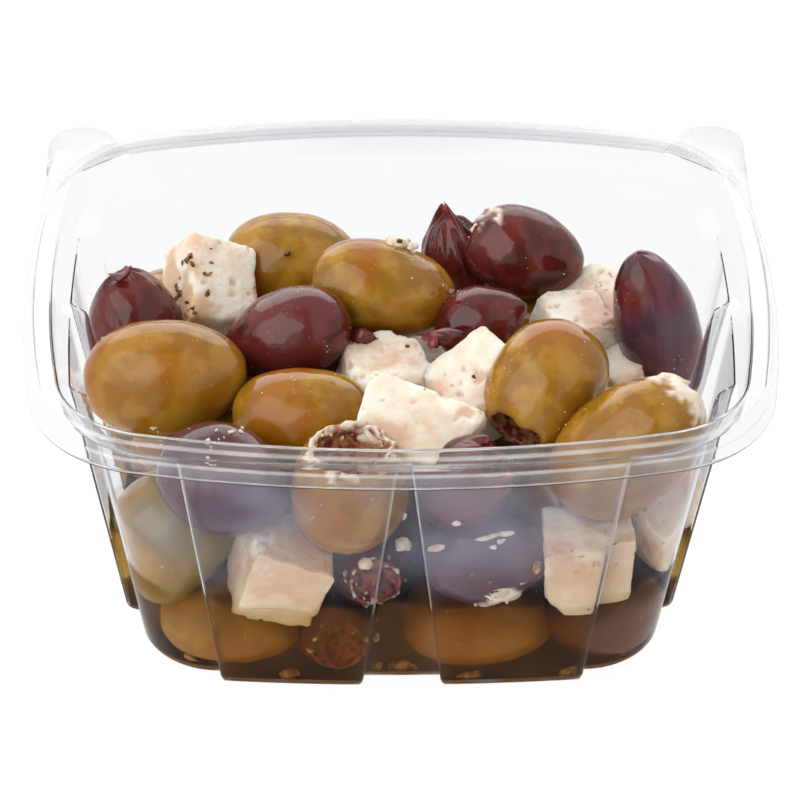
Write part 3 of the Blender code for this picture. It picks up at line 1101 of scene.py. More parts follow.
@dataclass(frozen=True)
class Cube:
    """Rough cube of cheese, with crumbled edges and small pits.

    Attributes:
        crowding: How far the rows are drawn together near the edges.
        chip_reach: Least and greatest distance of a break, as a share of the half size.
    """

    morsel: Morsel
    seed: int
    fine_steps: int = 30
    plain_steps: int = 12
    crowding: float = 0.86
    squareness: int = 16
    lean: float = 0.09
    chips: int = 4
    chip_reach: Pair = (0.84, 0.96)
    broken: Bumps = Bumps(2.0, 3, 21, 0.6)
    crumble: Bumps = Bumps(2.6, 4)
    pits: Bumps = Bumps(1.7, 2, 31)
    pit_depth: float = 0.45
    soak: Bumps = Bumps(3.0, 4, 41, 5.0)
    usual_stain: float = 0.9

    def grid(self) -> Surface:
        """Grid over a cube from -1 to 1, drawn more closely near its edges.

        Returns:
            Vertices and faces that point outwards.
        """
        steps = self.fine_steps if self.morsel.fine else self.plain_steps
        span = np.sin(np.linspace(-1.0, 1.0, steps + 1) * math.pi / 2 * self.crowding)
        span /= span[-1]
        lookup: dict[tuple[float, ...], int] = {}
        faces = []
        for axis in range(3):
            for side in (-1.0, 1.0):
                numbers = np.empty((steps + 1, steps + 1), int)
                for i, a in enumerate(span):
                    for j, b in enumerate(span):
                        place = [0.0, 0.0, 0.0]
                        place[axis], place[(axis + 1) % 3], place[(axis + 2) % 3] = side, a, b
                        numbers[i, j] = lookup.setdefault(tuple(round(v, 6) for v in place), len(lookup))
                for i in range(steps):
                    for j in range(steps):
                        quad = (numbers[i, j], numbers[i + 1, j], numbers[i + 1, j + 1], numbers[i, j + 1])
                        faces.append(quad if side > 0 else quad[::-1])
        return np.array(list(lookup)), faces

    def leaning(self, unit: Array) -> Array:
        """Block of the cube's size whose faces lean a little.

        Args:
            unit: Places on the cube from -1 to 1.

        Returns:
            Places in millimetres about the cube's own middle.
        """
        points = unit / np.linalg.norm(unit, ord=self.squareness, axis=1)[:, None]
        points = points * np.array(self.morsel.size) / 2
        lean = [math.sin(self.seed * 7.1 + k) * self.lean for k in range(6)]
        points[:, 0] *= 1.0 + lean[0] * unit[:, 2] + lean[1] * unit[:, 1]
        points[:, 1] *= 1.0 + lean[2] * unit[:, 0] + lean[3] * unit[:, 2]
        points[:, 2] *= 1.0 + lean[4] * unit[:, 0] + lean[5] * unit[:, 1]
        return points

    def chipped(self, points: Array) -> Array:
        """Break off some corners and edges.

        Args:
            points: Places on the whole block.

        Returns:
            The places after the breaks.
        """
        chance = np.random.default_rng(self.seed + 100)
        for _ in range(self.chips):
            side = chance.choice([-1.0, 1.0], 3) * chance.uniform(0.35, 1.0, 3)
            side /= np.linalg.norm(side)
            cut = (points @ side).max() * chance.uniform(*self.chip_reach)
            over = points @ side + self.broken.at(points, self.seed) - cut
            points = points - side * np.maximum(over, 0.0)[:, None] * 0.9
        return points

    def shape(self) -> tuple[Array, list[Face], Traits]:
        """Shape of the cube in its place.

        Returns:
            Vertices, faces and the traits of every vertex.
        """
        unit, faces = self.grid()
        points = self.chipped(self.leaning(unit))
        outward = unit**5 / np.linalg.norm(unit**5, axis=1)[:, None]
        edge = np.clip(np.sort(np.abs(unit), axis=1)[:, 1] * 1.6 - 0.7, 0.0, 1.0)
        pit = smooth((self.pits.at(points, self.seed) - 0.38) / 0.1)
        push = self.crumble.at(points, self.seed) * (0.15 + 0.5 * edge) - pit * self.pit_depth
        placed = (points + outward * push[:, None]) @ aim(self.morsel.along, self.morsel.roll).T
        stain = np.zeros(len(points))
        if self.morsel.cheese:
            facing = placed @ (np.array(self.morsel.cheese) / np.linalg.norm(self.morsel.cheese))
            wet = facing + self.soak.at(placed, self.seed) - 0.25 * self.morsel.size[0]
            stain = smooth(wet / 2.5) * (self.morsel.cool or self.usual_stain)
        return placed + np.array(self.morsel.middle), faces, {"pit": pit, "stain": stain}


class Bit(Enum):
    """Kinds of small bits that lie singly."""

    CRUMB = "single_crumbs"
    SPICE = "single_spices"
    SEED = "seeds"
    SCRAP = "skin_scraps"


@dataclass(frozen=True)
class Lump:
    """One small bit.

    Attributes:
        curl: How far a scrap of skin curls, as a share of its thickness.
    """

    bit: Bit
    middle: Triple
    along: Triple
    size: Triple
    rings: int = 9
    steps: int = 14
    rough: Bumps = Bumps(1.3, 3, 0, 0.55)
    curl: float = 0.22

    def shape(self, seed: int) -> Surface:
        """Rough closed lump in its place; a scrap of skin is thin and curled.

        Args:
            seed: Picks its bumps and its roll.

        Returns:
            Vertices and faces.
        """
        turns = np.linspace(0.0, math.pi, self.rings + 2)
        unit, faces = lathed(-np.cos(turns), np.sin(turns), self.steps)
        points = unit * (1.0 + self.rough.at(unit * 2.0, seed))[:, None] * np.array(self.size) / 2
        if self.bit is Bit.SCRAP:
            bend = unit[:, 0] ** 2 * 4 + np.sin(unit[:, 1] * 3.0 + seed)
            points[:, 2] += self.curl * self.size[2] * bend
        return points @ aim(self.along, seed * 40.0).T + np.array(self.middle), faces


LUMPS = (
    Lump(Bit.CRUMB, (0, -40, 31.9), (1, 0, 0.2), (3, 2.4, 2.2)),
    Lump(Bit.CRUMB, (-6.6, -42.6, 29.9), (1, 0.2, 0.3), (2.6, 2.2, 2)),
    Lump(Bit.CRUMB, (6, -43, 33.4), (1, 0, 0.3), (3.2, 1.4, 1.2)),
    Lump(Bit.CRUMB, (0.2, -40, 38.1), (0.3, 0, 1), (1.6, 0.9, 0.8)),
    Lump(Bit.CRUMB, (16.4, -42.4, 23.3), (1, 0, 0.2), (6.2, 3, 3.6)),
    Lump(Bit.CRUMB, (20.5, -41.8, 25), (0.8, 0, 0.6), (3.6, 2, 2)),
    Lump(Bit.CRUMB, (15, -40.3, 33.6), (1, 0, 0.35), (5.4, 1.2, 1)),
    Lump(Bit.CRUMB, (18.2, -40, 34.2), (1, 0, 0.1), (3, 1.1, 1)),
    Lump(Bit.CRUMB, (17.4, -40.8, 33.2), (1, 0, 0.5), (1.6, 0.9, 0.8)),
    Lump(Bit.CRUMB, (9.4, -42.5, 38.4), (1, 0, 0), (1.6, 1, 0.9)),
    Lump(Bit.CRUMB, (-0.2, 17, 58.2), (1, 0, 0), (4.6, 2.4, 2.4)),
    Lump(Bit.CRUMB, (2.4, 16.4, 57.9), (1, 0.3, 0), (2.2, 1.6, 1.6)),
    Lump(Bit.CRUMB, (46.3, -25.4, 55.8), (1, 0, 0.2), (7.5, 4.5, 4)),
    Lump(Bit.CRUMB, (14.5, 27, 54.8), (0.6, 0, 0.8), (2.4, 1.6, 1.6)),
    Lump(Bit.SPICE, (0, 16, 59.2), (1, 0, 0), (1.1, 0.9, 0.8)),
    Lump(Bit.SPICE, (-20.6, 23.6, 51.4), (1, 0, 0.5), (1.5, 1.1, 0.8)),
    Lump(Bit.SPICE, (9.4, 7.6, 53.6), (1, 0, 0.5), (1.7, 1.4, 1.2)),
    Lump(Bit.SEED, (-20.3, -38.2, 1.5), (1, 0, 0.1), (3.4, 2.2, 1.6)),
    Lump(Bit.SEED, (-4.6, -36.2, 1.7), (0.5, 0, 1), (2.2, 1.8, 1.5)),
    Lump(Bit.SEED, (0.3, -35.8, 1.4), (1, 0, 0), (5.5, 2.2, 1.6)),
    Lump(Bit.SEED, (12.1, -38.5, 1.4), (1, 0, 0.2), (4.8, 2, 1.5)),
    Lump(Bit.SEED, (23.7, -42.6, 28.7), (0.3, 0, 1), (2.4, 1.8, 1.5)),
    Lump(Bit.SEED, (-4.7, -38, 9.6), (0.2, 0, 1), (1.8, 1.2, 1)),
    Lump(Bit.SEED, (30, -37.5, 1.4), (1, 0.3, 0), (3.2, 2, 1.4)),
    Lump(Bit.SEED, (41, -31, 1.4), (1, 1, 0), (3, 1.9, 1.4)),
    Lump(Bit.SEED, (-38, -33, 1.4), (1, -1, 0), (2.8, 1.8, 1.4)),
    Lump(Bit.SCRAP, (-6.6, 0.6, 49.0), (1, 0, -0.2), (5.2, 3.2, 2.0)),
    Lump(Bit.SCRAP, (7.8, -3, 50.9), (1, 0, 0.1), (6.4, 3, 2.2)),
    Lump(Bit.SCRAP, (6, -4.2, 50.2), (0.6, 0, 0.8), (3.4, 2, 1.6)),
    Lump(Bit.SCRAP, (-50.6, 9.4, 56), (1, 0, 0.4), (4.4, 1.8, 1.2)),
)


@dataclass(frozen=True)
class Stock:
    """What the rest of the tub is filled with."""

    food: Food
    share: float
    size: Triple
    point: float = 0.0


@dataclass(frozen=True)
class Packing:
    """Fills the rest of the tub with olives and cubes that don't overlap.

    Attributes:
        spacing: Least distance between the first guesses of two middles.
        room: Half width, half depth and least height of the guesses.
        core_half: Half sizes of the middle of the tub that holds no pieces.
        core_middle: Its middle.
    """

    shape: TubShape = TUB
    seed: int = 11
    top: float = 39.0
    spacing: float = 15.5
    room: Triple = (50.0, 38.0, 9.0)
    first_gap: float = 8.0
    tries: int = 6000
    rounds: int = 220
    corner: float = 16.0
    wall_space: float = 0.6
    base_space: float = 0.7
    firmness: float = 2.0
    step: float = 0.18
    longest_step: float = 0.8
    core_half: Triple = (27.0, 14.0, 13.0)
    core_middle: Triple = (0.0, 5.0, 14.0)
    stock: tuple[Stock, ...] = (
        Stock(G, 0.42, (23.0, 17.0, 16.5)),
        Stock(D, 0.36, (20.5, 14.5, 14.0), 0.5),
        Stock(F, 0.22, (14.0, 13.5, 13.0)),
    )

    @staticmethod
    def beads(morsel: Morsel) -> tuple[Array, Array]:
        """Three balls that stand in for a morsel.

        Args:
            morsel: The morsel.

        Returns:
            The middles and the radii of the balls.
        """
        length, width, height = morsel.size
        radius = (width + height) / 4
        along = np.array(morsel.along) / np.linalg.norm(morsel.along)
        shift = max(length / 2 - radius * 0.95, 0.0)
        middle = np.array(morsel.middle, float)
        places = np.stack([middle - along * shift, middle, middle + along * shift])
        return places, np.array([radius * 0.92, radius, radius * 0.92])

    def wall_gap(self, places: Array) -> tuple[Array, Array]:
        """Distance from the inside of the recesses.

        Args:
            places: Places in the tub.

        Returns:
            The distance of each place, and the way that leads from the wall to it.
        """
        share = places[:, 2] / self.shape.neck_bottom
        half = np.stack([base + share * (neck - base)
                         for base, neck in zip(self.shape.base_half, self.shape.neck_half)], axis=1)
        beyond = np.abs(places[:, :2]) - (half - self.shape.recess - self.corner)
        outer = np.maximum(beyond, 0.0)
        length = np.linalg.norm(outer, axis=1)
        flat = np.eye(2)[np.argmax(beyond, axis=1)]
        way = np.where(length[:, None] > 0.01, outer / np.maximum(length, 0.01)[:, None], flat)
        gap = self.corner - np.where(length > 0.01, length, beyond.max(axis=1))
        return gap, -way * np.sign(places[:, :2])

    def fill(self, fixed: tuple[Morsel, ...]) -> list[Morsel]:
        """Fill the room between the fixed morsels and the wall.

        Args:
            fixed: Morsels that already have their places.

        Returns:
            The morsels between them.
        """
        chance = np.random.default_rng(self.seed)
        middles = [np.array(morsel.middle, float) for morsel in fixed]
        extra: list[Morsel] = []
        half_x, half_y, bottom = self.room
        shares = [stock.share for stock in self.stock]
        for _ in range(self.tries):
            place = chance.uniform((-half_x, -half_y, bottom), (half_x, half_y, self.top))
            if self.wall_gap(place[None])[0][0] < self.first_gap:
                continue
            if np.all(np.abs(place - self.core_middle) < self.core_half):
                continue
            if min(np.linalg.norm(place - other) for other in middles) < self.spacing:
                continue
            middles.append(place)
            stock = self.stock[chance.choice(len(self.stock), p=shares)]
            along = chance.normal(size=3) * (1.0, 1.0, 0.5)
            size = tuple(np.array(stock.size) * chance.uniform(0.92, 1.08))
            extra.append(Morsel(stock.food, tuple(place), tuple(along), size, point=stock.point, fine=False))
        return self.settle(fixed, extra)

    def settle(self, fixed: tuple[Morsel, ...], extra: list[Morsel]) -> list[Morsel]:
        """Push the extra morsels apart, and away from the wall and the fixed ones.

        Args:
            fixed: Morsels that stay where they are.
            extra: Morsels that may move.

        Returns:
            The extra morsels in their final places.
        """
        balls = [self.beads(morsel) for morsel in (*fixed, *extra)]
        start = np.concatenate([middles for middles, _ in balls])
        radii = np.concatenate([sizes for _, sizes in balls])
        owner = np.repeat(np.arange(len(balls)), 3)
        other = owner[:, None] != owner[None, :]
        moved = np.zeros((len(balls), 3))
        loose = np.arange(len(balls)) >= len(fixed)
        for _ in range(self.rounds):
            places = start + moved[owner]
            apart = places[:, None] - places[None, :]
            distance = np.linalg.norm(apart, axis=2) + 1e-6
            overlap = np.where(other, radii[:, None] + radii[None, :] - distance, 0.0)
            push = (apart / distance[..., None] * np.maximum(overlap, 0.0)[..., None]).sum(axis=1)
            gap, way = self.wall_gap(places)
            inward = np.maximum(radii - gap + self.wall_space, 0.0)
            push[:, :2] += way * inward[:, None] * self.firmness
            push[:, 2] += np.maximum(radii + self.base_space - places[:, 2], 0.0) * self.firmness
            push[:, 2] -= np.maximum(places[:, 2] - self.top, 0.0)
            total = np.stack([np.bincount(owner, push[:, axis]) for axis in Axis], axis=1)
            step = np.clip(total * self.step, -self.longest_step, self.longest_step)
            moved += np.where(loose[:, None], step, 0.0)
        return [replace(morsel, middle=tuple(np.array(morsel.middle) + shift))
                for morsel, shift in zip(extra, moved[len(fixed):])]


# ---------------------------------------------------------------- node trees


class Nodes:
    """Short way to build a node tree."""

    def __init__(self, tree: Tree) -> None:
        """Work on an existing tree."""
        self.tree = tree

    def add(self, kind: str, **settings: object) -> bpy.types.Node:
        """Add a node.

        Args:
            kind: Type of the node.
            settings: Its properties.

        Returns:
            The node.
        """
        node = self.tree.nodes.new(kind)
        for key, value in settings.items():
            setattr(node, key, value)
        return node

    def feed(self, socket: Socket, value: object) -> None:
        """Feed an input.

        Args:
            socket: The input.
            value: Another node's output, or a plain value.
        """
        if isinstance(value, Socket):
            self.tree.links.new(value, socket)
        elif isinstance(value, tuple) and socket.type == "RGBA":
            socket.default_value = (*value, 1.0)
        else:
            socket.default_value = value

    def fill(self, node: bpy.types.Node, **inputs: object) -> bpy.types.Node:
        """Feed a node's inputs by name.

        Args:
            node: The node.
            inputs: Outputs or plain values by input name, in which an underscore is a space.

        Returns:
            The same node.
        """
        for key, value in inputs.items():
            self.feed(node.inputs[key.replace("_", " ")], value)
        return node

    def math(self, operation: str, *values: object) -> Socket:
        """Sum on one, two or three values.

        Args:
            operation: Kind of sum.
            values: Outputs or plain values.

        Returns:
            The result.
        """
        node = self.add("ShaderNodeMath", operation=operation)
        for socket, value in zip(node.inputs, values):
            self.feed(socket, value)
        return node.outputs[0]

    def between(self, mask: object, low: float, high: float) -> Socket:
        """Value at a mask's share of the way from low to high."""
        return self.math("MULTIPLY_ADD", mask, high - low, low)

    def blend(self, mask: object, low: object, high: object) -> Socket:
        """Colour at a mask's share of the way from low to high.

        Args:
            mask: Share from 0 to 1.
            low: Colour where it is 0.
            high: Colour where it is 1.

        Returns:
            The blended colour.
        """
        node = self.add("ShaderNodeMix", data_type="RGBA")
        for index, value in ((0, mask), (6, low), (7, high)):
            self.feed(node.inputs[index], value)
        return node.outputs[2]

    def rise(self, value: object, start: object, finish: object) -> Socket:
        """Soft step from 0 at the start to 1 at the finish."""
        ramp = self.add("ShaderNodeMapRange", interpolation_type="SMOOTHSTEP")
        return self.fill(ramp, Value=value, From_Min=start, From_Max=finish).outputs[0]

    def split(self, vector: Socket) -> bpy.types.bpy_prop_collection:
        """Parts of a vector along the three axes."""
        return self.fill(self.add("ShaderNodeSeparateXYZ"), Vector=vector).outputs

    def trait(self, name: str) -> Socket:
        """Number stored on the mesh."""
        return self.add("ShaderNodeAttribute", attribute_name=name).outputs["Fac"]


def new_group(name: str, output: tuple[str, str], **inputs: float) -> tuple[Nodes, dict, Socket]:
    """Start a shader group that reads a place and some numbers.

    Args:
        name: Name of the group.
        output: Name and socket type of its only output.
        inputs: Numbers it reads, with their usual values.

    Returns:
        The group's tree, what it reads by name, and the socket that its result goes to.
    """
    tree = bpy.data.node_groups.new(name, "ShaderNodeTree")
    tree.interface.new_socket("Vector", in_out="INPUT", socket_type="NodeSocketVector")
    for key, value in inputs.items():
        socket = tree.interface.new_socket(key, in_out="INPUT", socket_type="NodeSocketFloat")
        socket.default_value = value
    tree.interface.new_socket(output[0], in_out="OUTPUT", socket_type=output[1])
    nodes = Nodes(tree)
    return nodes, nodes.add("NodeGroupInput").outputs, nodes.add("NodeGroupOutput").inputs[0]


def mottle_group() -> Tree:
    """Soft patches: noise cut off between a low and a high value.

    Returns:
        The group.
    """
    nodes, reads, result = new_group("mottle", ("Mask", "NodeSocketFloat"), Scale=150.0, Low=0.4, High=0.6,
                                     Detail=3.0)
    noise = nodes.fill(nodes.add("ShaderNodeTexNoise"), Vector=reads["Vector"], Scale=reads["Scale"],
                       Detail=reads["Detail"])
    nodes.feed(result, nodes.rise(noise.outputs[0], reads["Low"], reads["High"]))
    return nodes.tree


def speck_group() -> Tree:
    """Small round marks in some of the cells of a Voronoi pattern.

    Returns:
        The group.
    """
    nodes, reads, result = new_group("specks", ("Mask", "NodeSocketFloat"), Scale=400.0, Size=0.2, Share=0.3)
    cells = nodes.fill(nodes.add("ShaderNodeTexVoronoi"), Vector=reads["Vector"], Scale=reads["Scale"])
    near = nodes.math("SUBTRACT", 1.0, nodes.math("DIVIDE", cells.outputs["Distance"], reads["Size"]))
    pick = nodes.add("ShaderNodeSeparateColor")
    nodes.feed(pick.inputs[0], cells.outputs["Color"])
    chosen = nodes.math("LESS_THAN", pick.outputs[0], reads["Share"])
    soft = nodes.math("MINIMUM", nodes.math("MAXIMUM", nodes.math("MULTIPLY", near, 2.5), 0.0), 1.0)
    nodes.feed(result, nodes.math("MULTIPLY", soft, chosen))
    return nodes.tree


def grain_group() -> Tree:
    """Normal of a finely uneven surface.

    Returns:
        The group.
    """
    nodes, reads, result = new_group("grain", ("Normal", "NodeSocketVector"), Scale=900.0, Distance=0.0001,
                                     Detail=3.0)
    noise = nodes.fill(nodes.add("ShaderNodeTexNoise"), Vector=reads["Vector"], Scale=reads["Scale"],
                       Detail=reads["Detail"])
    bump = nodes.fill(nodes.add("ShaderNodeBump"), Height=noise.outputs[0], Distance=reads["Distance"],
                      Strength=1.0)
    nodes.feed(result, bump.outputs[0])
    return nodes.tree


@dataclass(frozen=True)
class SharedGroups:
    """Effects that several finishes use."""

    mottle: Tree
    specks: Tree
    grain: Tree


@dataclass(frozen=True)
class Mottle:
    """Soft patches of a finish.

    Attributes:
        scale: Fineness of the noise.
        low: Noise value where the patches begin.
        high: Noise value where they are full.
        detail: How broken the patches' edges are.
    """

    scale: float
    low: float = 0.4
    high: float = 0.6
    detail: float = 3.0


@dataclass(frozen=True)
class Specks:
    """Small round marks of a finish."""

    scale: float
    size: float
    share: float


@dataclass(frozen=True)
class Grain:
    """Unevenness of a finish.

    Attributes:
        scale: Fineness of the noise.
        distance: Its depth, in metres.
        detail: How broken it is.
    """

    scale: float = 900.0
    distance: float = 0.0001
    detail: float = 3.0


@dataclass(frozen=True)
class Fade:
    """Soft step along an axis, from 0 at the start to 1 at the finish, in metres."""

    axis: Axis
    start: float
    finish: float


def empty_material(name: str) -> Material:
    """Start a material without nodes.

    Args:
        name: Name of the material.

    Returns:
        The material.
    """
    material = bpy.data.materials.new(name)
    material.use_nodes = True
    material.node_tree.nodes.clear()
    return material


class FinishNodes(Nodes):
    """Node tree of a material whose patterns lie on the object."""

    def __init__(self, name: str, shared: SharedGroups) -> None:
        """Start an empty material.

        Args:
            name: Name of the material.
            shared: Effects it may use.
        """
        self.material = empty_material(name)
        super().__init__(self.material.node_tree)
        self.shared = shared
        self.place = self.add("ShaderNodeTexCoord").outputs["Object"]

    def use(self, group: Tree, **inputs: object) -> Socket:
        """Result of a shared group at each place."""
        node = self.add("ShaderNodeGroup", node_tree=group)
        return self.fill(node, Vector=self.place, **inputs).outputs[0]

    def mottled(self, mottle: Mottle) -> Socket:
        """Mask of soft patches."""
        return self.use(self.shared.mottle, Scale=mottle.scale, Low=mottle.low, High=mottle.high,
                        Detail=mottle.detail)

    def specked(self, specks: Specks) -> Socket:
        """Mask of small round marks."""
        return self.use(self.shared.specks, Scale=specks.scale, Size=specks.size, Share=specks.share)

    def grained(self, grain: Grain) -> Socket:
        """Normal of the uneven surface."""
        return self.use(self.shared.grain, Scale=grain.scale, Distance=grain.distance, Detail=grain.detail)

    def faded(self, mask: Socket, *fades: Fade) -> Socket:
        """Mask that is weakened by soft steps along the axes.

        Args:
            mask: The whole mask.
            fades: The steps.

        Returns:
            The weakened mask.
        """
        axes = self.split(self.place)
        for fade in fades:
            mask = self.math("MULTIPLY", mask, self.rise(axes[fade.axis], fade.start, fade.finish))
        return mask

    def principled(self, **inputs: object) -> Socket:
        """Main shader with the given inputs."""
        return self.fill(self.add("ShaderNodeBsdfPrincipled"), **inputs).outputs[0]

    def finished(self, surface: Socket, volume: Socket | None = None) -> Material:
        """Close the tree.

        Args:
            surface: Shader of the surface.
            volume: Shader of the inside, if it has one.

        Returns:
            The material.
        """
        out = self.fill(self.add("ShaderNodeOutputMaterial"), Surface=surface)
        if volume:
            self.feed(out.inputs["Volume"], volume)
        return self.material


# ---------------------------------------------------------------- finishes


@dataclass(frozen=True)
class SkinFinish:
    """Wet olive skin, with cut flesh, a stem scar and smeared cheese where the mesh has them.

    Attributes:
        patch: Colour of large soft patches.
        cool: Colour of the olives with a greener or bluer skin.
        fleck: Colour of tiny marks.
        flesh: Colours of the cut flesh, light and deep.
        wet: Roughness where the film of oil is thick.
        dry: Roughness where it is thin.
    """

    name: str
    light: Colour
    deep: Colour
    patch: Colour
    cool: Colour
    fleck: Colour
    flesh: tuple[Colour, Colour]
    cheese: Colour = srgb(236, 220, 200)
    wet: float = 0.06
    dry: float = 0.17
    dull: float = 0.3
    skin_tones: Mottle = Mottle(190.0, 0.4, 0.6, 5.0)
    patches: Mottle = Mottle(75.0, 0.46, 0.64, 1.0)
    patch_share: float = 0.75
    tone_share: float = 0.35
    flecks: Specks = Specks(1500.0, 0.24, 0.3)
    clusters: Mottle = Mottle(130.0, 0.52, 0.62, 4.0)
    fleck_share: float = 0.7
    fibres: Mottle = Mottle(650.0)
    film: Mottle = Mottle(120.0, 0.4, 0.65)
    unevenness: Grain = Grain(170.0, 0.00022, 4.0)

    def build(self, shared: SharedGroups) -> Material:
        """Make the material.

        Args:
            shared: Effects it uses.

        Returns:
            The material.
        """
        nodes = FinishNodes(self.name, shared)
        flesh, cheese = nodes.trait("flesh"), nodes.trait("cheese")
        tone = nodes.math("MULTIPLY", nodes.trait("tone"), self.tone_share)
        patches = nodes.math("MULTIPLY", nodes.mottled(self.patches), self.patch_share)
        clusters = nodes.math("MULTIPLY", nodes.mottled(self.clusters), self.fleck_share)
        flecks = nodes.math("MULTIPLY", nodes.specked(self.flecks), clusters)
        cut = nodes.blend(nodes.mottled(self.fibres), self.flesh[1], self.flesh[0])
        colour = nodes.blend(nodes.mottled(self.skin_tones), self.deep, self.light)
        for mask, layer in (
            (nodes.math("MAXIMUM", patches, tone), self.patch), (nodes.trait("cool"), self.cool),
            (flecks, self.fleck), (nodes.trait("scar"), self.flesh[1]), (flesh, cut), (cheese, self.cheese),
        ):
            colour = nodes.blend(mask, colour, layer)
        dull = nodes.math("MAXIMUM", cheese, nodes.math("MULTIPLY", flesh, 0.5))
        rough = nodes.between(nodes.mottled(self.film), self.wet, self.dry)
        return nodes.finished(nodes.principled(
            Base_Color=colour, Roughness=nodes.math("MULTIPLY_ADD", dull, self.dull, rough),
            Specular_IOR_Level=0.45, Normal=nodes.grained(self.unevenness),
        ))


@dataclass(frozen=True)
class CheeseFinish:
    """Crumbly white cheese, stained where it took up the olives' juice.

    Attributes:
        stain: Colour of small stains, and of the pits, where it is partly painted shade.
        soaked: Colour where much juice was taken up.
        soak: Heights at which the juice starts and is strongest.
    """

    name: str = "cheese"
    white: Colour = srgb(245, 238, 224)
    cream: Colour = srgb(238, 223, 202)
    stain: Colour = srgb(214, 170, 142)
    soaked: Colour = srgb(214, 176, 134)
    spice: Colour = srgb(120, 76, 44)
    curds: Mottle = Mottle(260.0, 0.35, 0.65)
    stains: Mottle = Mottle(95.0, 0.46, 0.64, 5.0)
    stain_share: float = 0.85
    soak: Fade = Fade(Axis.Z, 0.040, 0.018)
    soak_share: float = 0.6
    pit_stain_and_shade_share: float = 0.65
    spiced: Mottle = Mottle(90.0, 0.56, 0.64, 2.0)
    grains: Mottle = Mottle(620.0, 0.63, 0.7, 2.0)
    grain_share: float = 0.6
    unevenness: Grain = Grain(750.0, 0.00035, 5.0)

    def build(self, shared: SharedGroups) -> Material:
        """Make the material.

        Args:
            shared: Effects it uses.

        Returns:
            The material.
        """
        nodes = FinishNodes(self.name, shared)
        low = nodes.rise(nodes.split(nodes.place)[self.soak.axis], self.soak.start, self.soak.finish)
        grains = nodes.math("MULTIPLY", nodes.mottled(self.grains), nodes.mottled(self.spiced))
        colour = nodes.blend(nodes.mottled(self.curds), self.cream, self.white)
        for mask, layer in (
            (nodes.math("MULTIPLY", nodes.mottled(self.stains), self.stain_share), self.stain),
            (nodes.trait("stain"), self.soaked),
            (nodes.math("MULTIPLY", low, self.soak_share), self.soaked),
            # Pits take the stain colour: partly juice, partly painted shade in the hollows.
            (nodes.math("MULTIPLY", nodes.trait("pit"), self.pit_stain_and_shade_share), self.stain),
            (nodes.math("MULTIPLY", grains, self.grain_share), self.spice),
        ):
            colour = nodes.blend(mask, colour, layer)
        return nodes.finished(nodes.principled(
            Base_Color=colour, Roughness=0.55, Coat_Weight=0.2, Coat_Roughness=0.25,
            Subsurface_Weight=0.6, Subsurface_Radius=(1.0, 0.7, 0.5), Subsurface_Scale=0.005,
            Normal=nodes.grained(self.unevenness),
        ))


@dataclass(frozen=True)
class PlainFood:
    """Two-toned finish of small bits."""

    name: str
    light: Colour
    deep: Colour
    roughness: float = 0.5
    tones: Mottle = Mottle(700.0)
    unevenness: Grain = Grain()

    def build(self, shared: SharedGroups) -> Material:
        """Make the material."""
        nodes = FinishNodes(self.name, shared)
        return nodes.finished(nodes.principled(
            Base_Color=nodes.blend(nodes.mottled(self.tones), self.deep, self.light),
            Roughness=self.roughness, Coat_Weight=0.3, Normal=nodes.grained(self.unevenness),
        ))


@dataclass(frozen=True)
class ClearFinish:
    """Clear plastic or liquid that lets light through to what lies behind it.

    Attributes:
        ior: How strongly it bends light.
        depth_colour: Colour that light takes on inside, if it takes one on.
        density: How quickly it does so.
    """

    name: str
    tint: Colour
    ior: float
    roughness: float
    ripple: Grain = Grain(60.0, 0.00002, 2.0)
    depth_colour: Colour | None = None
    density: float = 0.0

    def build(self, shared: SharedGroups) -> Material:
        """Make the material.

        Args:
            shared: Effects it uses.

        Returns:
            The material.
        """
        nodes = FinishNodes(self.name, shared)
        bending = nodes.principled(
            Base_Color=self.tint, Roughness=self.roughness, IOR=self.ior, Metallic=0.0,
            Transmission_Weight=1.0, Normal=nodes.grained(self.ripple),
        )
        straight = nodes.fill(nodes.add("ShaderNodeBsdfTransparent"), Color=self.tint)
        join = nodes.add("ShaderNodeMixShader")
        shadow = nodes.add("ShaderNodeLightPath").outputs["Is Shadow Ray"]
        for socket, value in zip(join.inputs, (shadow, bending, straight.outputs[0])):
            nodes.feed(socket, value)
        volume = None
        if self.depth_colour:
            murk = nodes.fill(nodes.add("ShaderNodeVolumeAbsorption"), Color=self.depth_colour,
                              Density=self.density)
            volume = murk.outputs[0]
        return nodes.finished(join.outputs[0], volume)


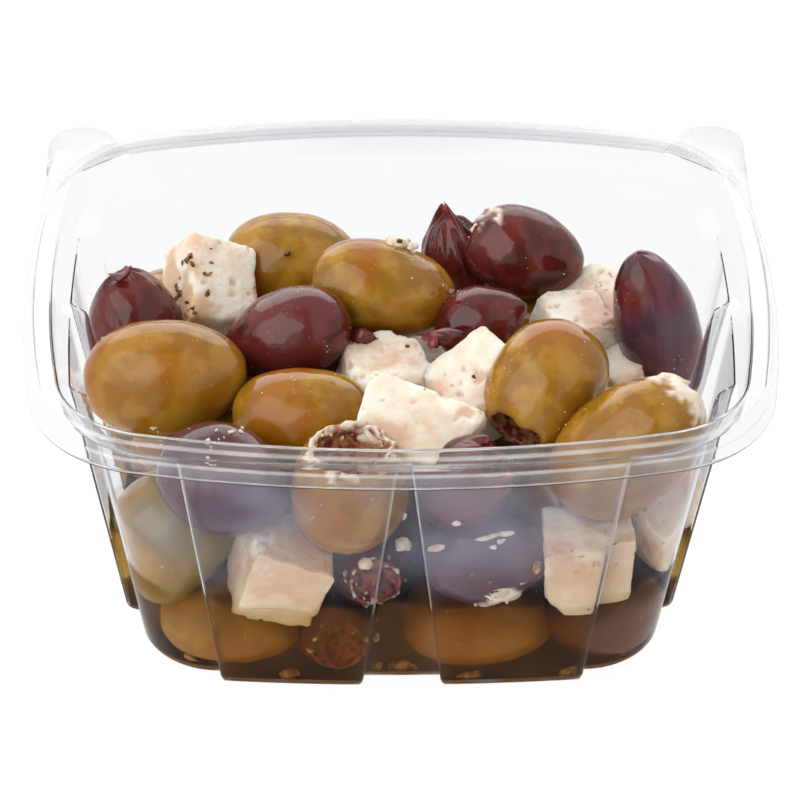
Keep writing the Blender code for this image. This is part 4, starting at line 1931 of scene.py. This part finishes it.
@dataclass(frozen=True)
class LiningFinish:
    """Milky and stained places of the plastic, and painted highlights on its rim and front panel edges.

    Attributes:
        mist: Colour of the misted front wall.
        painted_highlight: Colour of the painted highlights on the rim's bands and on the front panels'
            edges.
        silt: Colours of the settled spice, dark and light; the layer is partly painted shade under the base.
        murk: Colour of the cloudy liquid at the wall.
        mist_fades: Where the mist begins over the liquid, towards the front and under the rim.
        crease_middle: Distances from the middle at which a crease's painted highlight is weak and strong.
        swirl_rise: How far the swirls raise the cloud's upper edge, in metres.
        murk_full: Cover over which it hides the colour of the mist.
    """

    name: str = "lining"
    mist: Colour = (0.46, 0.48, 0.58)
    painted_highlight: Colour = (0.82, 0.80, 0.77)
    silt: tuple[Colour, Colour] = (srgb(62, 39, 22), srgb(110, 72, 38))
    murk: Colour = srgb(132, 88, 44)
    clouds: Mottle = Mottle(55.0, 0.3, 0.65)
    mist_cover: Pair = (0.03, 0.13)
    mist_fades: tuple[Fade, ...] = (
        Fade(Axis.Z, 0.021, 0.038), Fade(Axis.Y, -0.016, -0.034), Fade(Axis.Z, 0.0585, 0.0495),
    )
    tab_cover: float = 0.12
    tab_line: Fade = Fade(Axis.Y, 0.0495, 0.052)
    highlight_breakup: Mottle = Mottle(140.0, 0.2, 0.7, 5.0)
    highlight_breakup_cover: Pair = (0.4, 1.1)
    crease_start: Pair = (0.05, 0.2)
    crease_fades: tuple[Fade, ...] = (Fade(Axis.Y, -0.034, -0.037), Fade(Axis.Z, 0.0555, 0.052))
    crease_middle: Pair = (0.010, 0.025)
    crease_cover: float = 0.25
    crease_share: float = 0.8
    grains: Mottle = Mottle(640.0, 0.5, 0.72, 5.0)
    drifts: Mottle = Mottle(60.0, 0.42, 0.62)
    drift_cover: float = 0.2
    swirls: Mottle = Mottle(90.0, 0.3, 0.7)
    swirl_rise: float = 0.004
    murk_top: Pair = (0.0195, 0.0155)
    murk_cover: Pair = (0.03, 0.12)
    murk_bottom: Fade = Fade(Axis.Z, -0.006, 0.012)
    murk_full: float = 0.02

    def misted(self, nodes: FinishNodes) -> Socket:
        """Cover of the mist and of the tabs.

        Args:
            nodes: The finish's tree.

        Returns:
            The cover.
        """
        mist = nodes.faded(nodes.between(nodes.mottled(self.clouds), *self.mist_cover), *self.mist_fades)
        behind = nodes.split(nodes.place)[self.tab_line.axis]
        tabs = nodes.rise(behind, self.tab_line.start, self.tab_line.finish)
        return nodes.math("MAXIMUM", mist, nodes.math("MULTIPLY", tabs, self.tab_cover))

    def highlight_cover(self, nodes: FinishNodes) -> Socket:
        """Cover of the painted highlights on the rim's bands and along the front panels' edges.

        Args:
            nodes: The finish's tree.

        Returns:
            The cover.
        """
        # Painted highlight bands on the rim, broken up by a noise pattern.
        highlight_breakup = nodes.between(nodes.mottled(self.highlight_breakup), *self.highlight_breakup_cover)
        frost = nodes.math("MULTIPLY", nodes.trait("frost"), highlight_breakup)
        # Painted highlight lines along the panels' edges, on the front wall only, below the neck and weaker
        # near the middle.
        start, full = self.crease_start
        across = nodes.trait("crease")
        crease = nodes.math("MULTIPLY", nodes.rise(across, start, full),
                            nodes.rise(across, 1.0 - start, 1.0 - full))
        crease = nodes.faded(crease, *self.crease_fades)
        off_middle = nodes.math("ABSOLUTE", nodes.split(nodes.place)[Axis.X])
        beside = nodes.rise(off_middle, *self.crease_middle)
        crease = nodes.math("MULTIPLY", crease, nodes.between(beside, self.crease_cover, 1.0))
        return nodes.math("MAXIMUM", frost, nodes.math("MULTIPLY", crease, self.crease_share))

    def clouded(self, nodes: FinishNodes) -> Socket:
        """Cover of the cloudy liquid.

        Args:
            nodes: The finish's tree.

        Returns:
            The cover.
        """
        swirls = nodes.mottled(self.swirls)
        height = nodes.split(nodes.place)[Axis.Z]
        shore = nodes.math("MULTIPLY_ADD", swirls, -self.swirl_rise, height)
        below = nodes.rise(shore, *self.murk_top)
        murk = nodes.math("MULTIPLY", below, nodes.between(swirls, *self.murk_cover))
        return nodes.faded(murk, self.murk_bottom)

    def settled(self, nodes: FinishNodes) -> Socket:
        """Colour of the settled spice."""
        drifts = nodes.between(nodes.mottled(self.drifts), self.drift_cover, 1.0)
        return nodes.blend(nodes.math("MULTIPLY", nodes.mottled(self.grains), drifts), *self.silt)

    def build(self, shared: SharedGroups) -> Material:
        """Make the material.

        Args:
            shared: Effects it uses.

        Returns:
            The material.
        """
        nodes = FinishNodes(self.name, shared)
        mist, painted_highlight, murk = self.misted(nodes), self.highlight_cover(nodes), self.clouded(nodes)
        silt = nodes.trait("silt")
        both = nodes.math("ADD", nodes.math("ADD", painted_highlight, mist), 0.001)
        # Painted highlights and mist each take their own colour, by their shares of the cover.
        colour = nodes.blend(nodes.math("DIVIDE", painted_highlight, both), self.mist, self.painted_highlight)
        colour = nodes.blend(nodes.rise(murk, 0.0, self.murk_full), colour, self.murk)
        # Settled spice at the base, partly real and partly painted shade for the unlit underside of the tub.
        colour = nodes.blend(silt, colour, self.settled(nodes))
        cover = nodes.math("MAXIMUM", nodes.math("MAXIMUM", painted_highlight, mist), nodes.math("MAXIMUM", murk, silt))
        return nodes.finished(nodes.principled(
            Base_Color=colour, Roughness=0.9, Alpha=cover, Specular_IOR_Level=0.0,
        ))


LINING = LiningFinish()
CLEAR_PLASTIC = ClearFinish("clear_plastic", (0.87, 0.873, 0.88), 1.115, 0.03)
BRINE = ClearFinish("brine", (1.0, 1.0, 1.0), 1.06, 0.02, depth_colour=(0.80, 0.64, 0.05), density=230.0)
# The green skin's colours are lifted, most in blue, as painted sheen of the milky film of oil.
GREEN_SKIN = SkinFinish(
    "green_skin", light=srgb(171, 127, 40), deep=srgb(142, 99, 19), patch=srgb(154, 86, 3),
    cool=srgb(120, 106, 52), fleck=srgb(200, 176, 110), flesh=(srgb(184, 126, 86), srgb(112, 52, 36)),
)
DARK_SKIN = SkinFinish(
    "dark_skin", light=srgb(104, 35, 29), deep=srgb(74, 22, 19), patch=srgb(94, 36, 36),
    cool=srgb(77, 59, 76), fleck=srgb(160, 120, 110), flesh=(srgb(158, 76, 74), srgb(88, 26, 34)),
)
CHEESE = CheeseFinish()
CORE = PlainFood("core", srgb(164, 110, 56), srgb(96, 58, 30), 0.4, Mottle(120.0))
CRUMB = PlainFood("crumb", srgb(240, 228, 206), srgb(214, 190, 158), 0.6)
SPICE = PlainFood("spice", srgb(176, 116, 60), srgb(74, 42, 24), 0.4)
SEED = PlainFood("seed", srgb(206, 160, 96), srgb(140, 92, 44), 0.4)
SKIN_SCRAP = PlainFood("skin_scrap", srgb(124, 40, 40), srgb(66, 18, 22), 0.3)


# ---------------------------------------------------------------- strewn bits


@dataclass(frozen=True)
class Scatter:
    """Small bits strewn over a surface by a Geometry Nodes tree.

    Attributes:
        name: Name of the piece.
        spots: Middle and radius of the places it keeps to, in millimetres; all over if empty.
        density: Bits for each square metre where they may lie.
        smallest: Least size in millimetres.
        largest: Greatest size in millimetres.
        shape: Length, width and thickness for a size of 1.
        lean: Least upward lean of the surface, from -1 to 1.
        grain: Width of the clusters in millimetres.
        thin: Share of the surface left bare between clusters, about 0.3 to 0.7.
        seed: Picks the places.
    """

    name: str
    spots: tuple[tuple[Triple, float], ...]
    density: float
    smallest: float
    largest: float
    shape: Triple
    lean: float
    grain: float
    thin: float
    seed: int

    @staticmethod
    def new_tree(name: str) -> Tree:
        """Empty Geometry Nodes tree with named inputs for the sizes.

        Args:
            name: Name of the tree.

        Returns:
            The tree.
        """
        tree = bpy.data.node_groups.new(name, "GeometryNodeTree")
        tree.interface.new_socket("Geometry", in_out="INPUT", socket_type="NodeSocketGeometry")
        for key in ("Density", "Smallest", "Largest", "Lean", "Cluster", "Thin"):
            tree.interface.new_socket(key, in_out="INPUT", socket_type="NodeSocketFloat")
        tree.interface.new_socket("Seed", in_out="INPUT", socket_type="NodeSocketInt")
        tree.interface.new_socket("Geometry", in_out="OUTPUT", socket_type="NodeSocketGeometry")
        return tree

    def bit(self, nodes: Nodes) -> Socket:
        """One lumpy bit of size 1.

        Args:
            nodes: The tree.

        Returns:
            Its geometry.
        """
        ball = nodes.fill(nodes.add("GeometryNodeMeshIcoSphere"), Radius=0.5, Subdivisions=1)
        rough = nodes.fill(nodes.add("ShaderNodeTexNoise"), Scale=2.3, Detail=2.0)
        offset = nodes.add("ShaderNodeVectorMath", operation="SUBTRACT")
        nodes.feed(offset.inputs[0], rough.outputs["Color"])
        nodes.feed(offset.inputs[1], (0.5, 0.5, 0.5))
        lumpy = nodes.fill(nodes.add("GeometryNodeSetPosition"), Geometry=ball.outputs[0],
                           Offset=offset.outputs[0])
        shaped = nodes.fill(nodes.add("GeometryNodeTransform"), Geometry=lumpy.outputs[0], Scale=self.shape)
        return shaped.outputs[0]

    def tree(self, material: Material) -> Tree:
        """Make the Geometry Nodes tree.

        Args:
            material: Finish of the bits.

        Returns:
            The tree.
        """
        nodes = Nodes(self.new_tree(self.name))
        reads, writer = nodes.add("NodeGroupInput").outputs, nodes.add("NodeGroupOutput")
        normal, place = nodes.add("GeometryNodeInputNormal"), nodes.add("GeometryNodeInputPosition")
        upward = nodes.math("GREATER_THAN", nodes.split(normal.outputs[0])[Axis.Z], reads["Lean"])
        noise = nodes.fill(nodes.add("ShaderNodeTexNoise"), Vector=place.outputs[0],
                           Scale=reads["Cluster"], Detail=1.0)
        grouped = nodes.math("GREATER_THAN", noise.outputs[0], reads["Thin"])
        density = nodes.math("MULTIPLY", nodes.math("MULTIPLY", upward, grouped), reads["Density"])
        strewn = nodes.fill(nodes.add("GeometryNodeDistributePointsOnFaces"), Density=density,
                            Mesh=reads["Geometry"], Seed=reads["Seed"])
        spin = nodes.add("FunctionNodeRandomValue", data_type="FLOAT_VECTOR")
        nodes.feed(spin.inputs[1], (math.tau, math.tau, math.tau))
        size = nodes.fill(nodes.add("FunctionNodeRandomValue", data_type="FLOAT"), Seed=reads["Seed"])
        nodes.feed(size.inputs[2], reads["Smallest"])
        nodes.feed(size.inputs[3], reads["Largest"])
        bits = nodes.fill(nodes.add("GeometryNodeInstanceOnPoints"), Points=strewn.outputs[0],
                          Instance=self.bit(nodes), Rotation=spin.outputs[0], Scale=size.outputs[1])
        real = nodes.fill(nodes.add("GeometryNodeRealizeInstances"), Geometry=bits.outputs[0])
        coloured = nodes.fill(nodes.add("GeometryNodeSetMaterial"), Geometry=real.outputs[0],
                              Material=material)
        nodes.feed(writer.inputs[0], coloured.outputs[0])
        return nodes.tree

    def ground(self, piles: list[MeshPile]) -> bpy.types.Mesh:
        """Gather the faces that lie in the spots.

        Args:
            piles: Shapes that the bits may lie on.

        Returns:
            A mesh of those faces.
        """
        places, faces = np.concatenate([part for pile in piles for part in pile.vertices]), []
        near = np.full(len(places), not self.spots)
        for middle, radius in self.spots:
            near |= np.linalg.norm(places - np.array(middle), axis=1) < radius
        start = 0
        for pile in piles:
            faces += [tuple(corner + start for corner in face) for face in pile.faces
                      if all(near[corner + start] for corner in face)]
            start += pile.count
        ground = bpy.data.meshes.new(self.name)
        ground.from_pydata(places * MM, [], faces)
        return ground

    def strew(self, piles: list[MeshPile], material: Material) -> None:
        """Make the piece.

        Args:
            piles: Shapes that the bits lie on.
            material: Finish of the bits.
        """
        piece = placed_object(self.name, self.ground(piles))
        tree = self.tree(material)
        strewn = piece.modifiers.new("strewn", "NODES")
        strewn.node_group = tree
        values = {"Density": self.density, "Smallest": self.smallest * MM, "Largest": self.largest * MM,
                  "Lean": self.lean, "Cluster": 1.0 / (self.grain * MM), "Thin": self.thin,
                  "Seed": self.seed}
        for item in tree.interface.items_tree:
            if item.item_type == "SOCKET" and item.in_out == "INPUT" and item.name in values:
                strewn[item.identifier] = values[item.name]
        piece = baked(piece)
        places = np.empty(len(piece.data.vertices) * 3)
        piece.data.vertices.foreach_get("co", places)
        places = LIMIT.press(places.reshape(-1, 3) / MM) * MM
        piece.data.vertices.foreach_set("co", places.ravel())
        dress(piece)


ON_OLIVES = (
    # Fine crumbs, which also stand in for the glints of droplets as painted highlights.
    Scatter("fine_crumbs", (), 60000.0, 0.12, 0.36, (1.2, 1.0, 0.8), -0.2, 7.0, 0.56, 4),
    Scatter("coarse_crumbs", (
        ((-9.4, -35.4, 54.5), 9.5), ((15.2, -44.5, 34.0), 3.6), ((18.5, -44.5, 35.0), 3.0),
        ((15.5, -43.0, 20.5), 4.5), ((-31, -35, 50.5), 6.0), ((-6.2, -43.5, 23.5), 6.0),
        ((-12, -43.0, 8.4), 6.0), ((34, 18, 50), 5.0), ((3, 4, 56), 5.5), ((-42, -15, 40), 6.0),
    ), 330000.0, 0.3, 1.2, (1.3, 1.0, 0.7), -1.1, 3.0, 0.5, 9),
)
ON_CHEESE = (
    Scatter("seasoning", (), 9000.0, 0.3, 1.0, (1.5, 1.0, 0.5), -0.6, 8.0, 0.5, 3),
    Scatter("coarse_seasoning", (((-41, 14.5, 51.5), 6.5), ((-38.5, 12, 48), 4.0)), 350000.0, 0.5, 1.6,
            (1.3, 1.0, 0.6), -1.1, 4.0, 0.45, 6),
)


# ---------------------------------------------------------------- studio


@dataclass(frozen=True)
class SoftBox:
    """Rectangular lamp that looks at the tub; lengths are in metres and its power in watts."""

    name: str
    place: Triple
    width: float
    height: float
    power: float
    target: Triple = (0.0, 0.0, 0.03)

    def build(self) -> None:
        """Make the lamp."""
        data = bpy.data.lights.new(self.name, "AREA")
        data.shape = "RECTANGLE"
        data.size, data.size_y = self.width, self.height
        data.energy = self.power
        lamp = placed_object(self.name, data)
        lamp.location = self.place
        aimed = Vector(self.target) - Vector(self.place)
        lamp.rotation_euler = aimed.to_track_quat("-Z", "Y").to_euler()


@dataclass(frozen=True)
class Studio:
    """Pale floor, soft light and the camera.

    Angles are in degrees, the camera's lengths in millimetres and all others in metres.

    Attributes:
        gap_bearing: Direction of the gap, in degrees to the right of the front.
        gap_edge: Where the gap begins and is dimmest, as shares of its half width.
        gap_front: How far to the front a direction points where the gap begins and is dimmest.
    """

    elevation: float = 35.3
    azimuth: float = -1.12
    roll: float = 0.47
    distance: float = 932.1
    target: Triple = (0.05, 0.0, 34.9)
    lens: float = 228.94
    clip: Pair = (0.01, 20.0)
    room: float = 0.9
    gap: float = 0.3
    gap_bearing: float = 14.0
    gap_width: float = 11.0
    gap_edge: Pair = (1.25, 0.75)
    gap_front: Pair = (0.3, -0.1)
    floor_half: float = 3.0
    floor_tone: float = 0.06
    floor_glow: float = 0.955
    bounces: int = 24
    boxes: tuple[SoftBox, ...] = (
        SoftBox("left_box", (-0.68, -0.52, 0.78), 1.5, 1.3, 8.5),
        SoftBox("rear_box", (0.0, 1.3, 0.62), 2.2, 1.0, 11.0),
    )

    def build(self) -> None:
        """Make the camera, the floor and the light."""
        self.add_camera()
        self.add_floor()
        self.add_room()
        for box in self.boxes:
            box.build()
        scene = bpy.context.scene
        scene.view_settings.view_transform = "Standard"
        scene.cycles.max_bounces = self.bounces
        scene.cycles.transmission_bounces = self.bounces
        scene.cycles.transparent_max_bounces = self.bounces

    def add_floor(self) -> None:
        """Lay a wide pale floor."""
        half = self.floor_half
        mesh = bpy.data.meshes.new("floor")
        mesh.from_pydata([(-half, -half, 0), (half, -half, 0), (half, half, 0), (-half, half, 0)],
                         [], [(0, 1, 2, 3)])
        material = empty_material("floor_paint")
        nodes = Nodes(material.node_tree)
        shader = nodes.fill(
            nodes.add("ShaderNodeBsdfPrincipled"), Base_Color=(self.floor_tone,) * 3, Roughness=0.7,
            Emission_Color=(1.0, 1.0, 1.0), Emission_Strength=self.floor_glow,
        )
        nodes.fill(nodes.add("ShaderNodeOutputMaterial"), Surface=shader.outputs[0])
        mesh.materials.append(material)
        placed_object("floor", mesh)

    def add_room(self) -> None:
        """Surround the tub with white walls that leave a dim gap in front."""
        world = bpy.data.worlds.new("room")
        world.use_nodes = True
        world.node_tree.nodes.clear()
        nodes = Nodes(world.node_tree)
        axes = nodes.split(nodes.add("ShaderNodeTexCoord").outputs["Generated"])
        bearing = math.radians(self.gap_bearing)
        aside = nodes.math("ABSOLUTE", nodes.math(
            "ADD", nodes.math("MULTIPLY", axes[Axis.X], math.cos(bearing)),
            nodes.math("MULTIPLY", axes[Axis.Y], math.sin(bearing)),
        ))
        half = math.sin(math.radians(self.gap_width))
        inside = nodes.rise(aside, *(half * share for share in self.gap_edge))
        dim = nodes.math("MULTIPLY", inside, nodes.rise(axes[Axis.Y], *self.gap_front))
        walls = nodes.fill(nodes.add("ShaderNodeBackground"), Color=(1.0, 1.0, 1.0),
                           Strength=nodes.between(dim, self.room, self.gap))
        nodes.fill(nodes.add("ShaderNodeOutputWorld"), Surface=walls.outputs[0])
        bpy.context.scene.world = world

    def add_camera(self) -> None:
        """Point the camera at the tub from its viewing angle."""
        up, side = math.radians(self.elevation), math.radians(self.azimuth)
        back = Vector((math.sin(side) * math.cos(up), -math.cos(side) * math.cos(up), math.sin(up)))
        data = bpy.data.cameras.new("camera")
        data.lens = self.lens
        data.sensor_width = 36.0
        data.clip_start, data.clip_end = self.clip
        camera = placed_object("camera", data)
        camera.matrix_world = (
            Matrix.Translation((Vector(self.target) + back * self.distance) * MM)
            @ back.to_track_quat("Z", "Y").to_matrix().to_4x4()
            @ Matrix.Rotation(math.radians(self.roll), 4, "Z")
        )
        bpy.context.scene.camera = camera


# ---------------------------------------------------------------- building it


@dataclass(frozen=True)
class Core:
    """Dark heart of the heap that no open view reaches."""

    middle: Triple = (0.0, 5.0, 17.0)
    half: Triple = (29.0, 16.0, 15.0)
    seed: int = 5
    lumps: Bumps = Bumps(14.0, 2, 3, 2.5)

    def build(self, material: Material) -> None:
        """Make the core as a lumpy block with round edges.

        Args:
            material: Finish of the core.
        """
        block = Morsel(F, self.middle, (1, 0, 0), tuple(2 * value for value in self.half))
        points, faces, _ = Cube(block, self.seed).shape()
        middle = np.array(self.middle)
        outward = (points - middle) / np.linalg.norm(points - middle, axis=1)[:, None]
        pile = MeshPile("heap_core")
        pile.add(points + outward * self.lumps.at(points)[:, None], faces)
        dress(pile.build(material))


@dataclass
class Heap:
    """Olives and cheese, with all that lies on them."""

    shared: SharedGroups
    packing: Packing = Packing()
    first_lump: int = 60
    piles: dict[Food, MeshPile] = field(default_factory=lambda: {
        G: MeshPile("green_olives", ("flesh", "cheese", "scar", "tone", "cool")),
        D: MeshPile("dark_olives", ("flesh", "cheese", "scar", "tone", "cool")),
        F: MeshPile("cheese_cubes", ("pit", "stain")),
    })

    def gather(self) -> None:
        """Gather the placed morsels and those that fill the room between them."""
        for seed, morsel in enumerate((*MORSELS, *self.packing.fill(MORSELS))):
            kind = Cube if morsel.food is F else Olive
            points, faces, traits = kind(morsel, seed).shape()
            self.piles[morsel.food].add(LIMIT.press(points), faces, **traits)

    def build_bits(self) -> None:
        """Make the small bits that lie singly."""
        bits = {bit: MeshPile(bit.value) for bit in Bit}
        for seed, lump in enumerate(LUMPS):
            points, faces = lump.shape(seed + self.first_lump)
            bits[lump.bit].add(LIMIT.press(points), faces)
        finishes = {Bit.CRUMB: CRUMB, Bit.SPICE: SPICE, Bit.SEED: SEED, Bit.SCRAP: SKIN_SCRAP}
        for bit, pile in bits.items():
            dress(pile.build(finishes[bit].build(self.shared)))

    def build(self) -> None:
        """Make the small bits, the olives, the cheese and what is strewn over them."""
        self.gather()
        self.build_bits()
        finishes = {G: GREEN_SKIN, D: DARK_SKIN, F: CHEESE}
        pieces = {food: pile.build(finishes[food].build(self.shared)) for food, pile in self.piles.items()}
        for scatter in ON_OLIVES:
            scatter.strew([self.piles[G], self.piles[D]], CRUMB.build(self.shared))
        for scatter in ON_CHEESE:
            scatter.strew([self.piles[F]], SPICE.build(self.shared))
        dress(pieces[G], "olive_heap")
        dress(pieces[D])
        dress(pieces[F])


def main() -> None:
    """Build every piece in order."""
    logging.basicConfig(level=logging.INFO, format="%(name)s %(message)s")
    shared = SharedGroups(mottle_group(), speck_group(), grain_group())
    Studio().build()
    ClearTub().build(CLEAR_PLASTIC.build(shared))
    Dressing().build(BRINE.build(shared))
    Lining().build(LINING.build(shared))
    Core().build(CORE.build(shared))
    Heap(shared).build()


if __name__ == "__main__":
    main()
